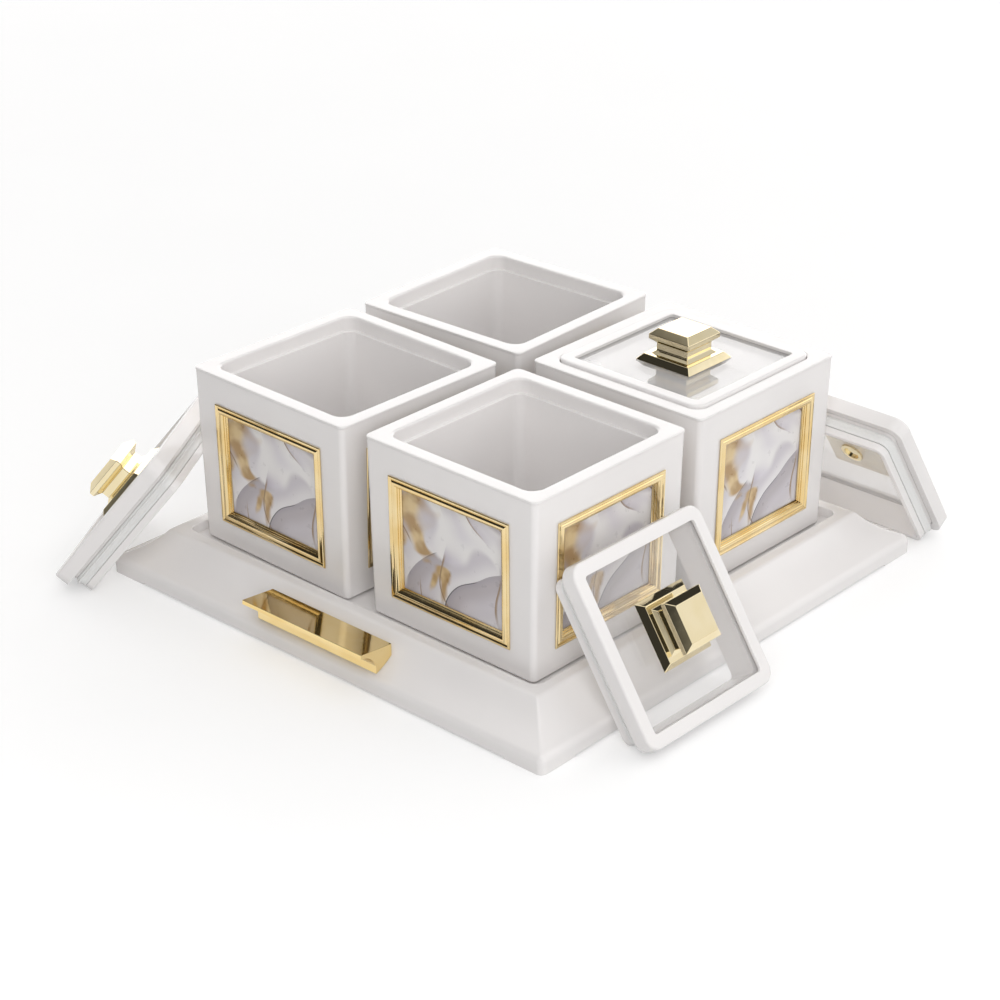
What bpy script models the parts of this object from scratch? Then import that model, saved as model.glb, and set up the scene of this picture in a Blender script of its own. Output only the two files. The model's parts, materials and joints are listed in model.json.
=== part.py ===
"""A square serving tray with two handles and four lidded canisters.

One lid is seated on its canister. The other three are set down on the table and lean on the canisters.
Metres, +Z up. The origin is the middle of the tray at table height, and -Y is the front side.
"""
import math

import bmesh
import bpy
from mathutils import Matrix, Vector

# Clearances
SEAT_GAP = 0.0003
CUT_OVERRUN = 0.001
JOIN_SINK = 0.0006

# Roundness of the corners, in straight steps for each quarter turn
TRAY_CORNER_STEPS = 2
SHELL_CORNER_STEPS = 2
BOWL_CORNER_STEPS = 4
KNOB_CORNER_STEPS = 2
SCREW_CORNER_STEPS = 3

# Tray
RECESS_CLEARANCE = 0.0064
RIDGE_WIDTH = 0.0076
COVE_RUN = 0.0205
TRAY_WALL = 0.0026
TRAY_CORNER_RADIUS = 0.0035
HIP_RADIUS = 0.0012
RIM_HEIGHT = 0.006
SHOULDER_RADIUS = 0.004
SHOULDER_TURN = math.radians(70)
TRAY_FLOOR_HEIGHT = 0.0182
RECESS_DEPTH = 0.0055
RIDGE_CROWN = 0.0012
RECESS_CORNER_RADIUS = 0.005
RECESS_EDGE_ROUND = 0.0006
FOOT_LENGTH = 0.023
RIM_RELIEF = 0.001

# Tray underside
RIB_THICKNESS = 0.0016
RIB_CLEARANCE = 0.006
RIB_SPACING = 0.062
CENTRE_FOOT_RADIUS = 0.011
SCREW_BLOCK_DEPTH = 0.008
SCREW_BLOCK_WIDTH = 0.009
SCREW_BLOCK_HEIGHT = 0.006

# Handles
HANDLE_LENGTH = 0.081
HANDLE_INSET = 0.0136
HANDLE_BACK_DROP = 0.0002
HANDLE_LIP_RISE = 0.0018
HANDLE_LIP_THICKNESS = 0.0022
HANDLE_LIP_SLANT = 0.0003
GRIP_FOOT_INSET = 0.0031
GRIP_FOOT_RISE = 0.00187

# Handle screws
HANDLE_SCREW_END_DISTANCE = 0.0155
HANDLE_SCREW_INSET = 0.0089
HANDLE_SCREW_BITE = 0.0055
SCREW_RADIUS = 0.0015
SCREW_HEAD_RADIUS = 0.0029
SCREW_HEAD_HEIGHT = 0.0018
SCREW_HEAD_ROUND = 0.0007
SCREW_TIP = 0.0008

# Canisters
CANISTER_SPACE = 0.0123
CANISTER_HEIGHT = 0.0943
CANISTER_TOP_WIDTH = 0.1072
CANISTER_TAPER = 0.0027
CANISTER_CORNER_RADIUS = 0.003
SHELL_WALL = 0.002
SHELL_FLOOR = 0.002
SHELL_EDGE_ROUND = 0.0006
FOOT_RING_HEIGHT = 0.001
FOOT_RING_INSET = 0.003
FOOT_RING_WIDTH = 0.0025

# Inner tubs
RIM_PLATE = 0.001
RIM_OVERHANG = 0.0003
RIM_CORNER_RADIUS = 0.0033
RIM_EDGE_ROUND = 0.0003
DECK_THICKNESS = 0.0021
LOCATING_RIB_DEPTH = 0.0045
LOCATING_RIB_WALL = 0.0015
DECK_WIDTH = 0.0075
MOUTH_CORNER_RADIUS = 0.0075
MOUTH_EDGE_ROUND = 0.0008
LEDGE_DEPTH = 0.0072
LEDGE_WIDTH = 0.0022
BOWL_FLOOR_INSET = 0.01095
BOWL_WALL = 0.002
BOWL_FLOOR_ROUND = 0.005
BOWL_STAND = 0.0012

# Picture frames, and the printed sleeve that shows through them
PICTURE_SIDE_MARGIN = 0.0149
PICTURE_TOP_MARGIN = 0.0157
PICTURE_BOTTOM_MARGIN = 0.0136
MOULDING_WIDTH = 0.0063
MOULDING_RISE = 0.001
EDGE_BAND = 0.0013
FLANGE_LAP = 0.0012
BEAD_RISE = 0.00125
GROOVE_RISE = 0.0005
SLEEVE_THICKNESS = 0.0006

# Lids
LID_FRAME_DEPTH = 0.0081
LID_EDGE_ROUND = 0.0012
WINDOW_RECESS = 0.0018
WINDOW_CORNER_RADIUS = 0.0016
WINDOW_EDGE_BEVEL = 0.0004
PANE_LAP = 0.0025
PANE_THICKNESS = 0.002
PLUG_LIP = 0.0038
PLUG_WALL = 0.0026
PLUG_CORNER_RADIUS = 0.0052
PLUG_TIP_ROUND = 0.0005
GASKET_DROP = 0.0014
GASKET_HEIGHT = 0.006
GASKET_GROOVE_DEPTH = 0.0011
GASKET_BACK = 0.0012
FIN_REACH = 0.0014
FIN_NOTCH = 0.0016
FIN_DROP = 0.0018
FIN_ROUND = 0.0007
FIN_ROOT = 0.0038

# Knobs
KNOB_BASE_WIDTH = 0.0344
KNOB_STEP_WIDTH = 0.0286
KNOB_STEP_HEIGHT = 0.0034
KNOB_COLLAR_WIDTH = 0.0234
KNOB_COLLAR_HEIGHT = 0.005
KNOB_NECK_WIDTH = 0.0196
KNOB_NECK_HEIGHT = 0.009
KNOB_HEAD_WIDTH = 0.0255
KNOB_FLARE_HEIGHT = 0.0114
KNOB_BAND_HEIGHT = 0.0138
KNOB_TOP_WIDTH = 0.019
KNOB_HEIGHT = 0.0168
KNOB_EDGE_RADIUS = 0.0004
KNOB_HOLLOW_WALL = 0.002
KNOB_HOLLOW_DEPTH = 0.0022
KNOB_BOSS_RADIUS = 0.0063
KNOB_BOSS_DROP = 0.0028
KNOB_CORE_RADIUS = 0.0043
KNOB_CORE_TOP = 0.0125

# How the loose lids lean: how far they stand out past the tray's edge, and where they are along it
RIGHT_LID_STAND_OFF = 0.017
RIGHT_LID_SHIFT = -0.001
BACK_LID_STAND_OFF = 0.017
BACK_LID_OVERREACH = 0.0087
LEFT_LID_STAND_OFF = 0.015
LEFT_LID_HEADING = math.radians(-149)
LEFT_LID_SHIFT = -0.0017

# Where each canister stands, as shares of the pitch from the middle, and how far it is turned
CANISTER_PLACE_SHARES = {
    "front_left": (-0.5, -0.5),
    "front_right": (0.5, -0.5),
    "back_left": (-0.5, 0.5),
    "back_right": (0.5, 0.5),
}
CANISTER_TURNS = {
    "front_left": math.radians(-1.4),
    "front_right": math.radians(-0.45),
    "back_left": math.radians(1.6),
    "back_right": math.radians(-0.45),
}
SIDE_HEADINGS = {
    "right": 0.0,
    "back": math.pi / 2,
    "left": math.pi,
    "front": -math.pi / 2,
}

# Finishes: colour, roughness, metallic, alpha
FINISHES = {
    "white_plastic": ((0.86, 0.85, 0.86), 0.18, 0.0, 1.0),
    "gold_moulding": ((0.83, 0.62, 0.24), 0.16, 1.0, 1.0),
    "pale_gold": ((0.86, 0.75, 0.48), 0.07, 1.0, 1.0),
    "clear_plastic": ((0.95, 0.95, 0.96), 0.04, 0.0, 0.3),
    "silicone": ((0.88, 0.88, 0.87), 0.45, 0.0, 1.0),
    "printed_sleeve": ((0.72, 0.70, 0.76), 0.35, 0.0, 1.0),
    "steel": ((0.62, 0.62, 0.63), 0.3, 1.0, 1.0),
}


# Sizes that follow from the ones above
CANISTER_BASE_WIDTH = CANISTER_TOP_WIDTH - CANISTER_TAPER
CANISTER_PITCH = CANISTER_TOP_WIDTH + CANISTER_SPACE
CANISTER_MEAN_WIDTH = (CANISTER_TOP_WIDTH + CANISTER_BASE_WIDTH) / 2
RECESS_HALF = (CANISTER_PITCH + CANISTER_BASE_WIDTH) / 2 + RECESS_CLEARANCE
COVE_TOP_HALF = RECESS_HALF + RIDGE_WIDTH
TRAY_HALF = COVE_TOP_HALF + COVE_RUN
RIDGE_HEIGHT = TRAY_FLOOR_HEIGHT + RECESS_DEPTH
COVE_TOP_HEIGHT = RIDGE_HEIGHT - RIDGE_CROWN
HANDLE_BACK = TRAY_HALF - HANDLE_INSET
HANDLE_LIP_HEIGHT = COVE_TOP_HEIGHT + HANDLE_LIP_RISE
GRIP_FOOT = TRAY_HALF - GRIP_FOOT_INSET
SCREW_LINE = TRAY_HALF - HANDLE_SCREW_INSET
SCREW_SPACING = HANDLE_LENGTH - 2 * HANDLE_SCREW_END_DISTANCE
CANISTER_FOOT_Z = TRAY_FLOOR_HEIGHT + SEAT_GAP
SHELL_BOTTOM = FOOT_RING_HEIGHT
SHELL_TOP = CANISTER_HEIGHT - RIM_PLATE - SEAT_GAP
LEDGE_HEIGHT = CANISTER_HEIGHT - LEDGE_DEPTH
MOUTH_HALF = CANISTER_TOP_WIDTH / 2 - DECK_WIDTH
BOWL_TOP_HALF = MOUTH_HALF - LEDGE_WIDTH
BOWL_FLOOR_HALF = CANISTER_BASE_WIDTH / 2 - BOWL_FLOOR_INSET
BOWL_CORNER_RADIUS = MOUTH_CORNER_RADIUS - LEDGE_WIDTH
BOWL_FLOOR_BOTTOM = SHELL_BOTTOM + SHELL_FLOOR + BOWL_STAND
BOWL_FLOOR_TOP = BOWL_FLOOR_BOTTOM + BOWL_WALL
PICTURE_WIDTH = CANISTER_MEAN_WIDTH - 2 * PICTURE_SIDE_MARGIN
PICTURE_HEIGHT = CANISTER_HEIGHT - PICTURE_TOP_MARGIN - PICTURE_BOTTOM_MARGIN
PICTURE_LIFT = PICTURE_BOTTOM_MARGIN + PICTURE_HEIGHT / 2
LID_WIDTH = 2 * (MOUTH_HALF - SEAT_GAP)
LID_CORNER_RADIUS = MOUTH_CORNER_RADIUS - SEAT_GAP
LID_FRAME_TOP = WINDOW_RECESS
LID_FRAME_BOTTOM = WINDOW_RECESS - LID_FRAME_DEPTH
LID_SEAT = LEDGE_HEIGHT + SEAT_GAP - LID_FRAME_BOTTOM
GASKET_GROOVE_TOP = GASKET_DROP - LID_FRAME_BOTTOM
GASKET_GROOVE_BOTTOM = GASKET_GROOVE_TOP + GASKET_HEIGHT
PLUG_LENGTH = GASKET_GROOVE_BOTTOM + PLUG_LIP
FIN_RISE = SEAT_GAP + GASKET_BACK + FIN_REACH - GASKET_GROOVE_DEPTH


def bowl_half(height):
    """Half of the bowl's inner width at a height above the canister's foot."""
    wall_foot = BOWL_FLOOR_TOP + BOWL_FLOOR_ROUND
    share = (height - wall_foot) / (LEDGE_HEIGHT - wall_foot)
    return BOWL_FLOOR_HALF + (BOWL_TOP_HALF - BOWL_FLOOR_HALF) * share


# The plug passes the bowl's narrowest width, and the pane and window above it have its size
PLUG_HALF = min(BOWL_TOP_HALF, bowl_half(LID_SEAT - PLUG_LENGTH)) - SEAT_GAP - FIN_RISE
PLUG_INNER_HALF = PLUG_HALF - PLUG_WALL
PANE_HALF = PLUG_HALF
REBATE_HALF = PANE_HALF + SEAT_GAP
WINDOW_HALF = PANE_HALF - PANE_LAP


def ring(half_x, half_y, radius, height, steps):
    """Points of a rectangle with round corners at one height. With no steps the corners are sharp."""
    points = []
    for quarter, (side_x, side_y) in enumerate(((1, 1), (-1, 1), (-1, -1), (1, -1))):
        if steps == 0:
            points.append(Vector((side_x * half_x, side_y * half_y, height)))
            continue
        for step in range(steps + 1):
            angle = math.pi / 2 * (quarter + step / steps)
            points.append(Vector((
                side_x * (half_x - radius) + radius * math.cos(angle),
                side_y * (half_y - radius) + radius * math.sin(angle),
                height,
            )))
    return points


def square(half, radius, height, steps):
    """A square ring. With its radius equal to its half width it is a circle."""
    return ring(half, half, radius, height, steps)


def arc(centre_x, centre_y, radius, start, end, steps):
    """Points of an arc in a plane, both ends included."""
    points = []
    for step in range(steps + 1):
        angle = start + (end - start) * step / steps
        points.append((centre_x + radius * math.cos(angle), centre_y + radius * math.sin(angle)))
    return points


def finish_mesh(name, bm):
    """Turns a closed bmesh into a mesh whose faces point out."""
    bmesh.ops.recalc_face_normals(bm, faces=bm.faces)
    if bm.calc_volume(signed=True) < 0:
        bmesh.ops.reverse_faces(bm, faces=bm.faces)
    mesh = bpy.data.meshes.new(name)
    bm.to_mesh(mesh)
    bm.free()
    return mesh


def loft(name, rings, looped=False):
    """A skin through rings of equal length: a tube bent back on itself, or a solid with both ends capped."""
    bm = bmesh.new()
    rows = [[bm.verts.new(point) for point in row] for row in rings]
    pairs = list(zip(rows, rows[1:]))
    if looped:
        pairs.append((rows[-1], rows[0]))
    else:
        bm.faces.new(rows[0])
        bm.faces.new(rows[-1])
    for lower, upper in pairs:
        for index in range(len(lower)):
            following = (index + 1) % len(lower)
            bm.faces.new((lower[index], lower[following], upper[following], upper[index]))
    return finish_mesh(name, bm)


def extrusion(name, outline, length, frame):
    """A closed outline, extruded equally to both sides of its plane and placed by a frame matrix."""
    rings = []
    for side in (-1, 1):
        rings.append([frame @ Vector((x, y, side * length / 2)) for x, y in outline])
    return loft(name, rings)


def box(name, low, high):
    """An upright block between two corners."""
    outline = ((low[0], low[1]), (high[0], low[1]), (high[0], high[1]), (low[0], high[1]))
    rings = [[Vector((x, y, height)) for x, y in outline] for height in (low[2], high[2])]
    return loft(name, rings)


def placed(mesh, matrix):
    """A copy of a mesh, moved."""
    copy = mesh.copy()
    copy.transform(matrix)
    return copy


def boolean(target, tools, operation):
    """The target mesh with each tool mesh cut from it or joined to it, one after the other."""
    base = bpy.data.objects.new("work", target)
    bpy.context.scene.collection.objects.link(base)
    helpers = []
    for tool in tools:
        helper = bpy.data.objects.new("tool", tool)
        helper.hide_render = True
        helper.display_type = "WIRE"
        bpy.context.scene.collection.objects.link(helper)
        modifier = base.modifiers.new(operation.lower(), "BOOLEAN")
        modifier.operation = operation
        modifier.solver = "EXACT"
        modifier.object = helper
        helpers.append(helper)
    evaluated = base.evaluated_get(bpy.context.evaluated_depsgraph_get())
    result = bpy.data.meshes.new_from_object(evaluated)
    for helper in helpers + [base]:
        bpy.data.objects.remove(helper)
    return result


def make_material(name, finish):
    """A Principled material with the colour, roughness, metallic value and alpha of a finish."""
    colour, roughness, metallic, alpha = FINISHES[finish]
    material = bpy.data.materials.new(name)
    material.use_nodes = True
    shader = material.node_tree.nodes["Principled BSDF"]
    shader.inputs["Base Color"].default_value = (*colour, 1.0)
    shader.inputs["Roughness"].default_value = roughness
    shader.inputs["Metallic"].default_value = metallic
    shader.inputs["Alpha"].default_value = alpha
    material.diffuse_color = (*colour, alpha)
    return material


def add_piece(name, mesh, finish, parent=None, matrix=None):
    """One named piece of the model, with a material of its own."""
    piece = bpy.data.objects.new(name, mesh)
    bpy.context.scene.collection.objects.link(piece)
    if not mesh.materials:
        mesh.materials.append(None)
    piece.material_slots[0].link = "OBJECT"
    piece.material_slots[0].material = make_material(name, finish)
    piece.parent = parent
    if matrix is not None:
        piece.matrix_local = matrix
    return piece


def add_empty(name, matrix, parent=None):
    """An empty on a joint's axis, which carries the pieces that move together."""
    empty = bpy.data.objects.new(name, None)
    bpy.context.scene.collection.objects.link(empty)
    empty.parent = parent
    empty.matrix_local = matrix
    return empty


# Tray
def shoulder_and_cove():
    """The cove's arc in the tray's section: centre, radius and its steepness at the outer and inner end."""
    arc_centre = TRAY_HALF - SHOULDER_RADIUS
    outer_x = arc_centre + SHOULDER_RADIUS * math.cos(SHOULDER_TURN)
    outer_z = RIM_HEIGHT + SHOULDER_RADIUS * math.sin(SHOULDER_TURN)
    outer_slope = math.pi / 2 - SHOULDER_TURN
    run = outer_x - COVE_TOP_HALF
    rise = COVE_TOP_HEIGHT - outer_z
    inner_slope = 2 * math.atan2(rise, run) - outer_slope
    radius = run / (math.sin(inner_slope) - math.sin(outer_slope))
    centre = (outer_x + radius * math.sin(outer_slope), outer_z + radius * math.cos(outer_slope))
    return centre, radius, outer_slope, inner_slope


def cove_height(across):
    """Height of the cove's surface at a distance from the tray's middle."""
    centre, radius, _, _ = shoulder_and_cove()
    return centre[1] - math.sqrt(radius ** 2 - (centre[0] - across) ** 2)


def tray_section():
    """Half of the tray's upper surface as points across and up, from the rim's foot to the recess floor."""
    centre, radius, outer_slope, inner_slope = shoulder_and_cove()
    points = [(TRAY_HALF, 0)]
    points += arc(TRAY_HALF - SHOULDER_RADIUS, RIM_HEIGHT, SHOULDER_RADIUS, 0, SHOULDER_TURN, 3)
    points += arc(*centre, radius, -math.pi / 2 - outer_slope, -math.pi / 2 - inner_slope, 5)[1:]
    ridge_radius = (RIDGE_HEIGHT - COVE_TOP_HEIGHT) / (1 - math.cos(inner_slope))
    ridge_start = COVE_TOP_HALF - ridge_radius * math.sin(inner_slope)
    points += arc(
        ridge_start, RIDGE_HEIGHT - ridge_radius, ridge_radius, math.pi / 2 - inner_slope, math.pi / 2, 2
    )[1:]
    points.append((RECESS_HALF + RECESS_EDGE_ROUND, RIDGE_HEIGHT))
    points.append((RECESS_HALF, RIDGE_HEIGHT - RECESS_EDGE_ROUND))
    points.append((RECESS_HALF, TRAY_FLOOR_HEIGHT))
    return points


def inset_section(section, depth):
    """The section moved inwards by a depth, square to each of its stretches."""
    moved = []
    for index, point in enumerate(section):
        before = Vector(section[max(index - 1, 0)])
        after = Vector(section[min(index + 1, len(section) - 1)])
        here = Vector(point)
        normals = []
        for start, end in ((before, here), (here, after)):
            run = end - start
            if run.length > 0:
                normals.append(Vector((-run.y, run.x)).normalized())
        middle = sum(normals, Vector((0, 0))).normalized()
        moved.append(here + middle * depth / middle.dot(normals[0]))
    return [(point.x, point.y) for point in moved]


def under_section():
    """The tray's lower surface, from the rim's foot to the underside of the recess floor."""
    upper = tray_section()
    lower = inset_section(upper[:-1], TRAY_WALL)
    lower[0] = (TRAY_HALF - TRAY_WALL, 0)
    lower[-1] = (RECESS_HALF + TRAY_WALL, TRAY_FLOOR_HEIGHT - TRAY_WALL)
    lower[-2] = (RECESS_HALF + TRAY_WALL, RIDGE_HEIGHT - TRAY_WALL)
    return [point for index, point in enumerate(lower) if index != len(lower) - 3]


def tray_corner(across):
    """Corner radius of the tray's plan at a distance from its middle: it shrinks to the hip's own radius."""
    return max(HIP_RADIUS, TRAY_CORNER_RADIUS - (TRAY_HALF - across))


def tray_rib(along_x):
    """The outline of a rib that fills the tray's underside from rim to rim, and the frame it is drawn in."""
    lower = [point for point in under_section() if point[1] >= RIB_CLEARANCE]
    side = [(TRAY_HALF - TRAY_WALL + JOIN_SINK, RIB_CLEARANCE)]
    side += [(across, up + JOIN_SINK) for across, up in lower[:-2]]
    side.append((RECESS_HALF + TRAY_WALL - JOIN_SINK, lower[-2][1] + JOIN_SINK))
    side.append((RECESS_HALF + TRAY_WALL - JOIN_SINK, lower[-1][1] + JOIN_SINK))
    outline = side + [(-across, up) for across, up in reversed(side)]
    upright = Matrix.Rotation(math.pi / 2, 4, "X")
    if along_x:
        return outline, upright
    return outline, Matrix.Rotation(math.pi / 2, 4, "Z") @ upright


def make_tray():
    """The moulded tray: outer skin, inner skin, ribs, screw blocks, centre foot and relieved rim."""
    upper = tray_section()
    rings = []
    for across, up in upper[:-3]:
        rings.append(square(across, tray_corner(across), up, TRAY_CORNER_STEPS))
    for across, up in upper[-3:]:
        radius = RECESS_CORNER_RADIUS + across - RECESS_HALF
        rings.append(square(across, radius, up, TRAY_CORNER_STEPS))
    rings.reverse()
    for across, up in under_section():
        rings.append(square(across, tray_corner(across), up, TRAY_CORNER_STEPS))
    mesh = loft("tray", rings)

    relief = []
    inner = TRAY_HALF - FOOT_LENGTH
    outer = TRAY_HALF + CUT_OVERRUN
    for half_x, half_y in ((inner, outer), (outer, inner)):
        relief.append(box("relief", (-half_x, -half_y, -CUT_OVERRUN), (half_x, half_y, RIM_RELIEF)))
    mesh = boolean(mesh, relief, "DIFFERENCE")

    additions = []
    for along_x in (True, False):
        outline, frame = tray_rib(along_x)
        for row in (-1, 0, 1):
            shift = Vector((0, row * RIB_SPACING, 0)) if along_x else Vector((row * RIB_SPACING, 0, 0))
            additions.append(extrusion("rib", outline, RIB_THICKNESS, Matrix.Translation(shift) @ frame))
    foot_top = TRAY_FLOOR_HEIGHT - TRAY_WALL + JOIN_SINK
    foot = [
        square(CENTRE_FOOT_RADIUS, CENTRE_FOOT_RADIUS, height, BOWL_CORNER_STEPS) for height in (0, foot_top)
    ]
    additions.append(loft("centre_foot", foot))
    additions += [screw_block(side, place) for side in (-1, 1) for place in (-1, 1)]
    mesh = boolean(mesh, additions, "UNION")
    return boolean(mesh, handle_holes(), "DIFFERENCE")


def screw_block(side, place):
    """A block under the cove that a handle screw bears on. Its sloping top ends inside the tray's wall."""
    inner = SCREW_LINE - SCREW_BLOCK_DEPTH / 2
    outer = SCREW_LINE + SCREW_BLOCK_DEPTH / 2
    section = (
        (inner, SCREW_BLOCK_HEIGHT),
        (outer, SCREW_BLOCK_HEIGHT),
        (outer, cove_height(outer) - TRAY_WALL / 2),
        (inner, cove_height(inner) - TRAY_WALL / 2),
    )
    outline = [(side * across, up) for across, up in section]
    turn = Matrix.Rotation(math.pi / 2, 4, "Z") @ Matrix.Rotation(math.pi / 2, 4, "X")
    shift = Matrix.Translation((place * SCREW_SPACING / 2, 0, 0))
    return extrusion("screw_block", outline, SCREW_BLOCK_WIDTH, shift @ turn)


def handle_screw_tip():
    """Height of a handle screw's tip, which bites into the handle above the cove."""
    return cove_height(SCREW_LINE) + HANDLE_SCREW_BITE


def handle_holes():
    """Upright cutters on the four handle screws' axes, from the table up to past the screws' tips."""
    radius = SCREW_RADIUS + SEAT_GAP
    ends = (0, handle_screw_tip() + SEAT_GAP)
    cutter = loft("hole", [square(radius, radius, height, SCREW_CORNER_STEPS) for height in ends])
    cutters = []
    for side in (-1, 1):
        for place in (-1, 1):
            shift = Matrix.Translation((place * SCREW_SPACING / 2, side * SCREW_LINE, 0))
            cutters.append(placed(cutter, shift))
    return cutters


# Handles
def make_handle():
    """The gold handle's section, extruded: sloping top, thin lip, hollow grip and a foot on the cove."""
    lip_underside = HANDLE_LIP_HEIGHT - HANDLE_LIP_THICKNESS
    grip_radius = lip_underside - cove_height(GRIP_FOOT) - SEAT_GAP - GRIP_FOOT_RISE
    outline = [
        (HANDLE_BACK, COVE_TOP_HEIGHT - HANDLE_BACK_DROP),
        (GRIP_FOOT + grip_radius - HANDLE_LIP_SLANT, HANDLE_LIP_HEIGHT),
    ]
    grip_centre = (GRIP_FOOT + grip_radius, lip_underside - grip_radius)
    outline += arc(*grip_centre, grip_radius, math.pi / 2, math.pi, 6)
    steps = 5
    for step in range(steps + 1):
        across = GRIP_FOOT + (HANDLE_BACK - GRIP_FOOT) * step / steps
        outline.append((across, cove_height(across) + SEAT_GAP))
    outline = [(-across, up) for across, up in outline]
    turn = Matrix.Rotation(math.pi / 2, 4, "Z") @ Matrix.Rotation(math.pi / 2, 4, "X")
    mesh = extrusion("handle", outline, HANDLE_LENGTH, turn)
    return boolean(mesh, handle_holes()[:2], "DIFFERENCE")


def screw_rings(radius, head_radius, head_height, head_round, seat, length, steps):
    """Rings of a screw that points up, with the top of its head at a seat height."""
    profile = (
        (head_radius - head_round, seat - head_height),
        (head_radius, seat - head_height + head_round),
        (head_radius, seat),
        (radius, seat),
        (radius, seat + length - SCREW_TIP),
        (radius - SCREW_TIP, seat + length),
    )
    return [square(size, size, height, steps) for size, height in profile]


def make_handle_screw():
    """A handle screw on its own axis, at its height under the tray."""
    seat = SCREW_BLOCK_HEIGHT - SEAT_GAP
    rings = screw_rings(
        SCREW_RADIUS, SCREW_HEAD_RADIUS, SCREW_HEAD_HEIGHT, SCREW_HEAD_ROUND,
        seat, handle_screw_tip() - seat, SCREW_CORNER_STEPS,
    )
    return loft("handle_screw", rings)


def add_tray():
    """The tray with a handle and its two screws on the front and on the back."""
    add_piece("tray", make_tray(), "white_plastic")
    handle = make_handle()
    screw = make_handle_screw()
    for side, turn in (("front", 0), ("back", math.pi)):
        matrix = Matrix.Rotation(turn, 4, "Z")
        add_piece(f"handle_{side}", handle, "pale_gold", matrix=matrix)
        for end, place in (("left", -1), ("right", 1)):
            shift = Matrix.Translation((place * SCREW_SPACING / 2, -SCREW_LINE, 0))
            add_piece(f"handle_{side}_screw_{end}", screw, "steel", matrix=matrix @ shift)


# Canisters
def shell_half(height):
    """Half of the canister's outer width at a height above its foot: the walls widen upwards."""
    share = (height - SHELL_BOTTOM) / (SHELL_TOP - SHELL_BOTTOM)
    return (CANISTER_BASE_WIDTH + (CANISTER_TOP_WIDTH - CANISTER_BASE_WIDTH) * share) / 2


def wall_tilt():
    """How far the canister's walls lean out."""
    return math.atan2((CANISTER_TOP_WIDTH - CANISTER_BASE_WIDTH) / 2, SHELL_TOP - SHELL_BOTTOM)


def side_frame(heading):
    """Frame of one canister side at the picture's middle: X along the wall, Y up it and Z out of it."""
    middle = Matrix.Translation((shell_half(PICTURE_LIFT), 0, PICTURE_LIFT))
    upright = Matrix(((0, 0, 1), (1, 0, 0), (0, 1, 0))).to_4x4()
    lean = Matrix.Rotation(wall_tilt(), 4, "Y")
    return Matrix.Rotation(heading, 4, "Z") @ middle @ lean @ upright


def make_shell():
    """The canister's outer shell: square walls, floor and foot ring, with a window for each picture."""
    base_half = shell_half(SHELL_BOTTOM)
    foot_outer = base_half - FOOT_RING_INSET
    foot_inner = foot_outer - FOOT_RING_WIDTH
    floor_top = SHELL_BOTTOM + SHELL_FLOOR
    outer_profile = (
        (foot_inner, SHELL_BOTTOM),
        (foot_inner, 0),
        (foot_outer, 0),
        (foot_outer, SHELL_BOTTOM),
        (base_half - SHELL_EDGE_ROUND, SHELL_BOTTOM),
        (shell_half(SHELL_BOTTOM + SHELL_EDGE_ROUND), SHELL_BOTTOM + SHELL_EDGE_ROUND),
        (shell_half(SHELL_TOP), SHELL_TOP),
    )
    rings = []
    for half, height in outer_profile:
        rings.append(square(half, CANISTER_CORNER_RADIUS, height, SHELL_CORNER_STEPS))
    for height in (SHELL_TOP, floor_top):
        half = shell_half(height) - SHELL_WALL
        rings.append(square(half, CANISTER_CORNER_RADIUS - SHELL_WALL, height, SHELL_CORNER_STEPS))
    mesh = loft("outer_shell", rings)
    half_x = PICTURE_WIDTH / 2 - FLANGE_LAP + SEAT_GAP
    half_y = PICTURE_HEIGHT / 2 - FLANGE_LAP + SEAT_GAP
    low = -SHELL_WALL - CUT_OVERRUN
    window = box("picture_window", (-half_x, -half_y, low), (half_x, half_y, CUT_OVERRUN))
    windows = [placed(window, side_frame(heading)) for heading in SIDE_HEADINGS.values()]
    return boolean(mesh, windows, "DIFFERENCE")


def make_sleeve():
    """The thin printed sleeve inside the shell, whose pictures show through the frames."""
    low = SHELL_BOTTOM + SHELL_FLOOR + SEAT_GAP
    high = CANISTER_HEIGHT - LOCATING_RIB_DEPTH - SEAT_GAP
    radius = CANISTER_CORNER_RADIUS - SHELL_WALL - SEAT_GAP
    rings = []
    for inset, height in ((0, low), (0, high), (SLEEVE_THICKNESS, high), (SLEEVE_THICKNESS, low)):
        half = shell_half(height) - SHELL_WALL - SEAT_GAP - inset
        rings.append(square(half, max(radius - inset, SEAT_GAP), height, SHELL_CORNER_STEPS))
    return loft("printed_sleeve", rings, looped=True)


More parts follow.
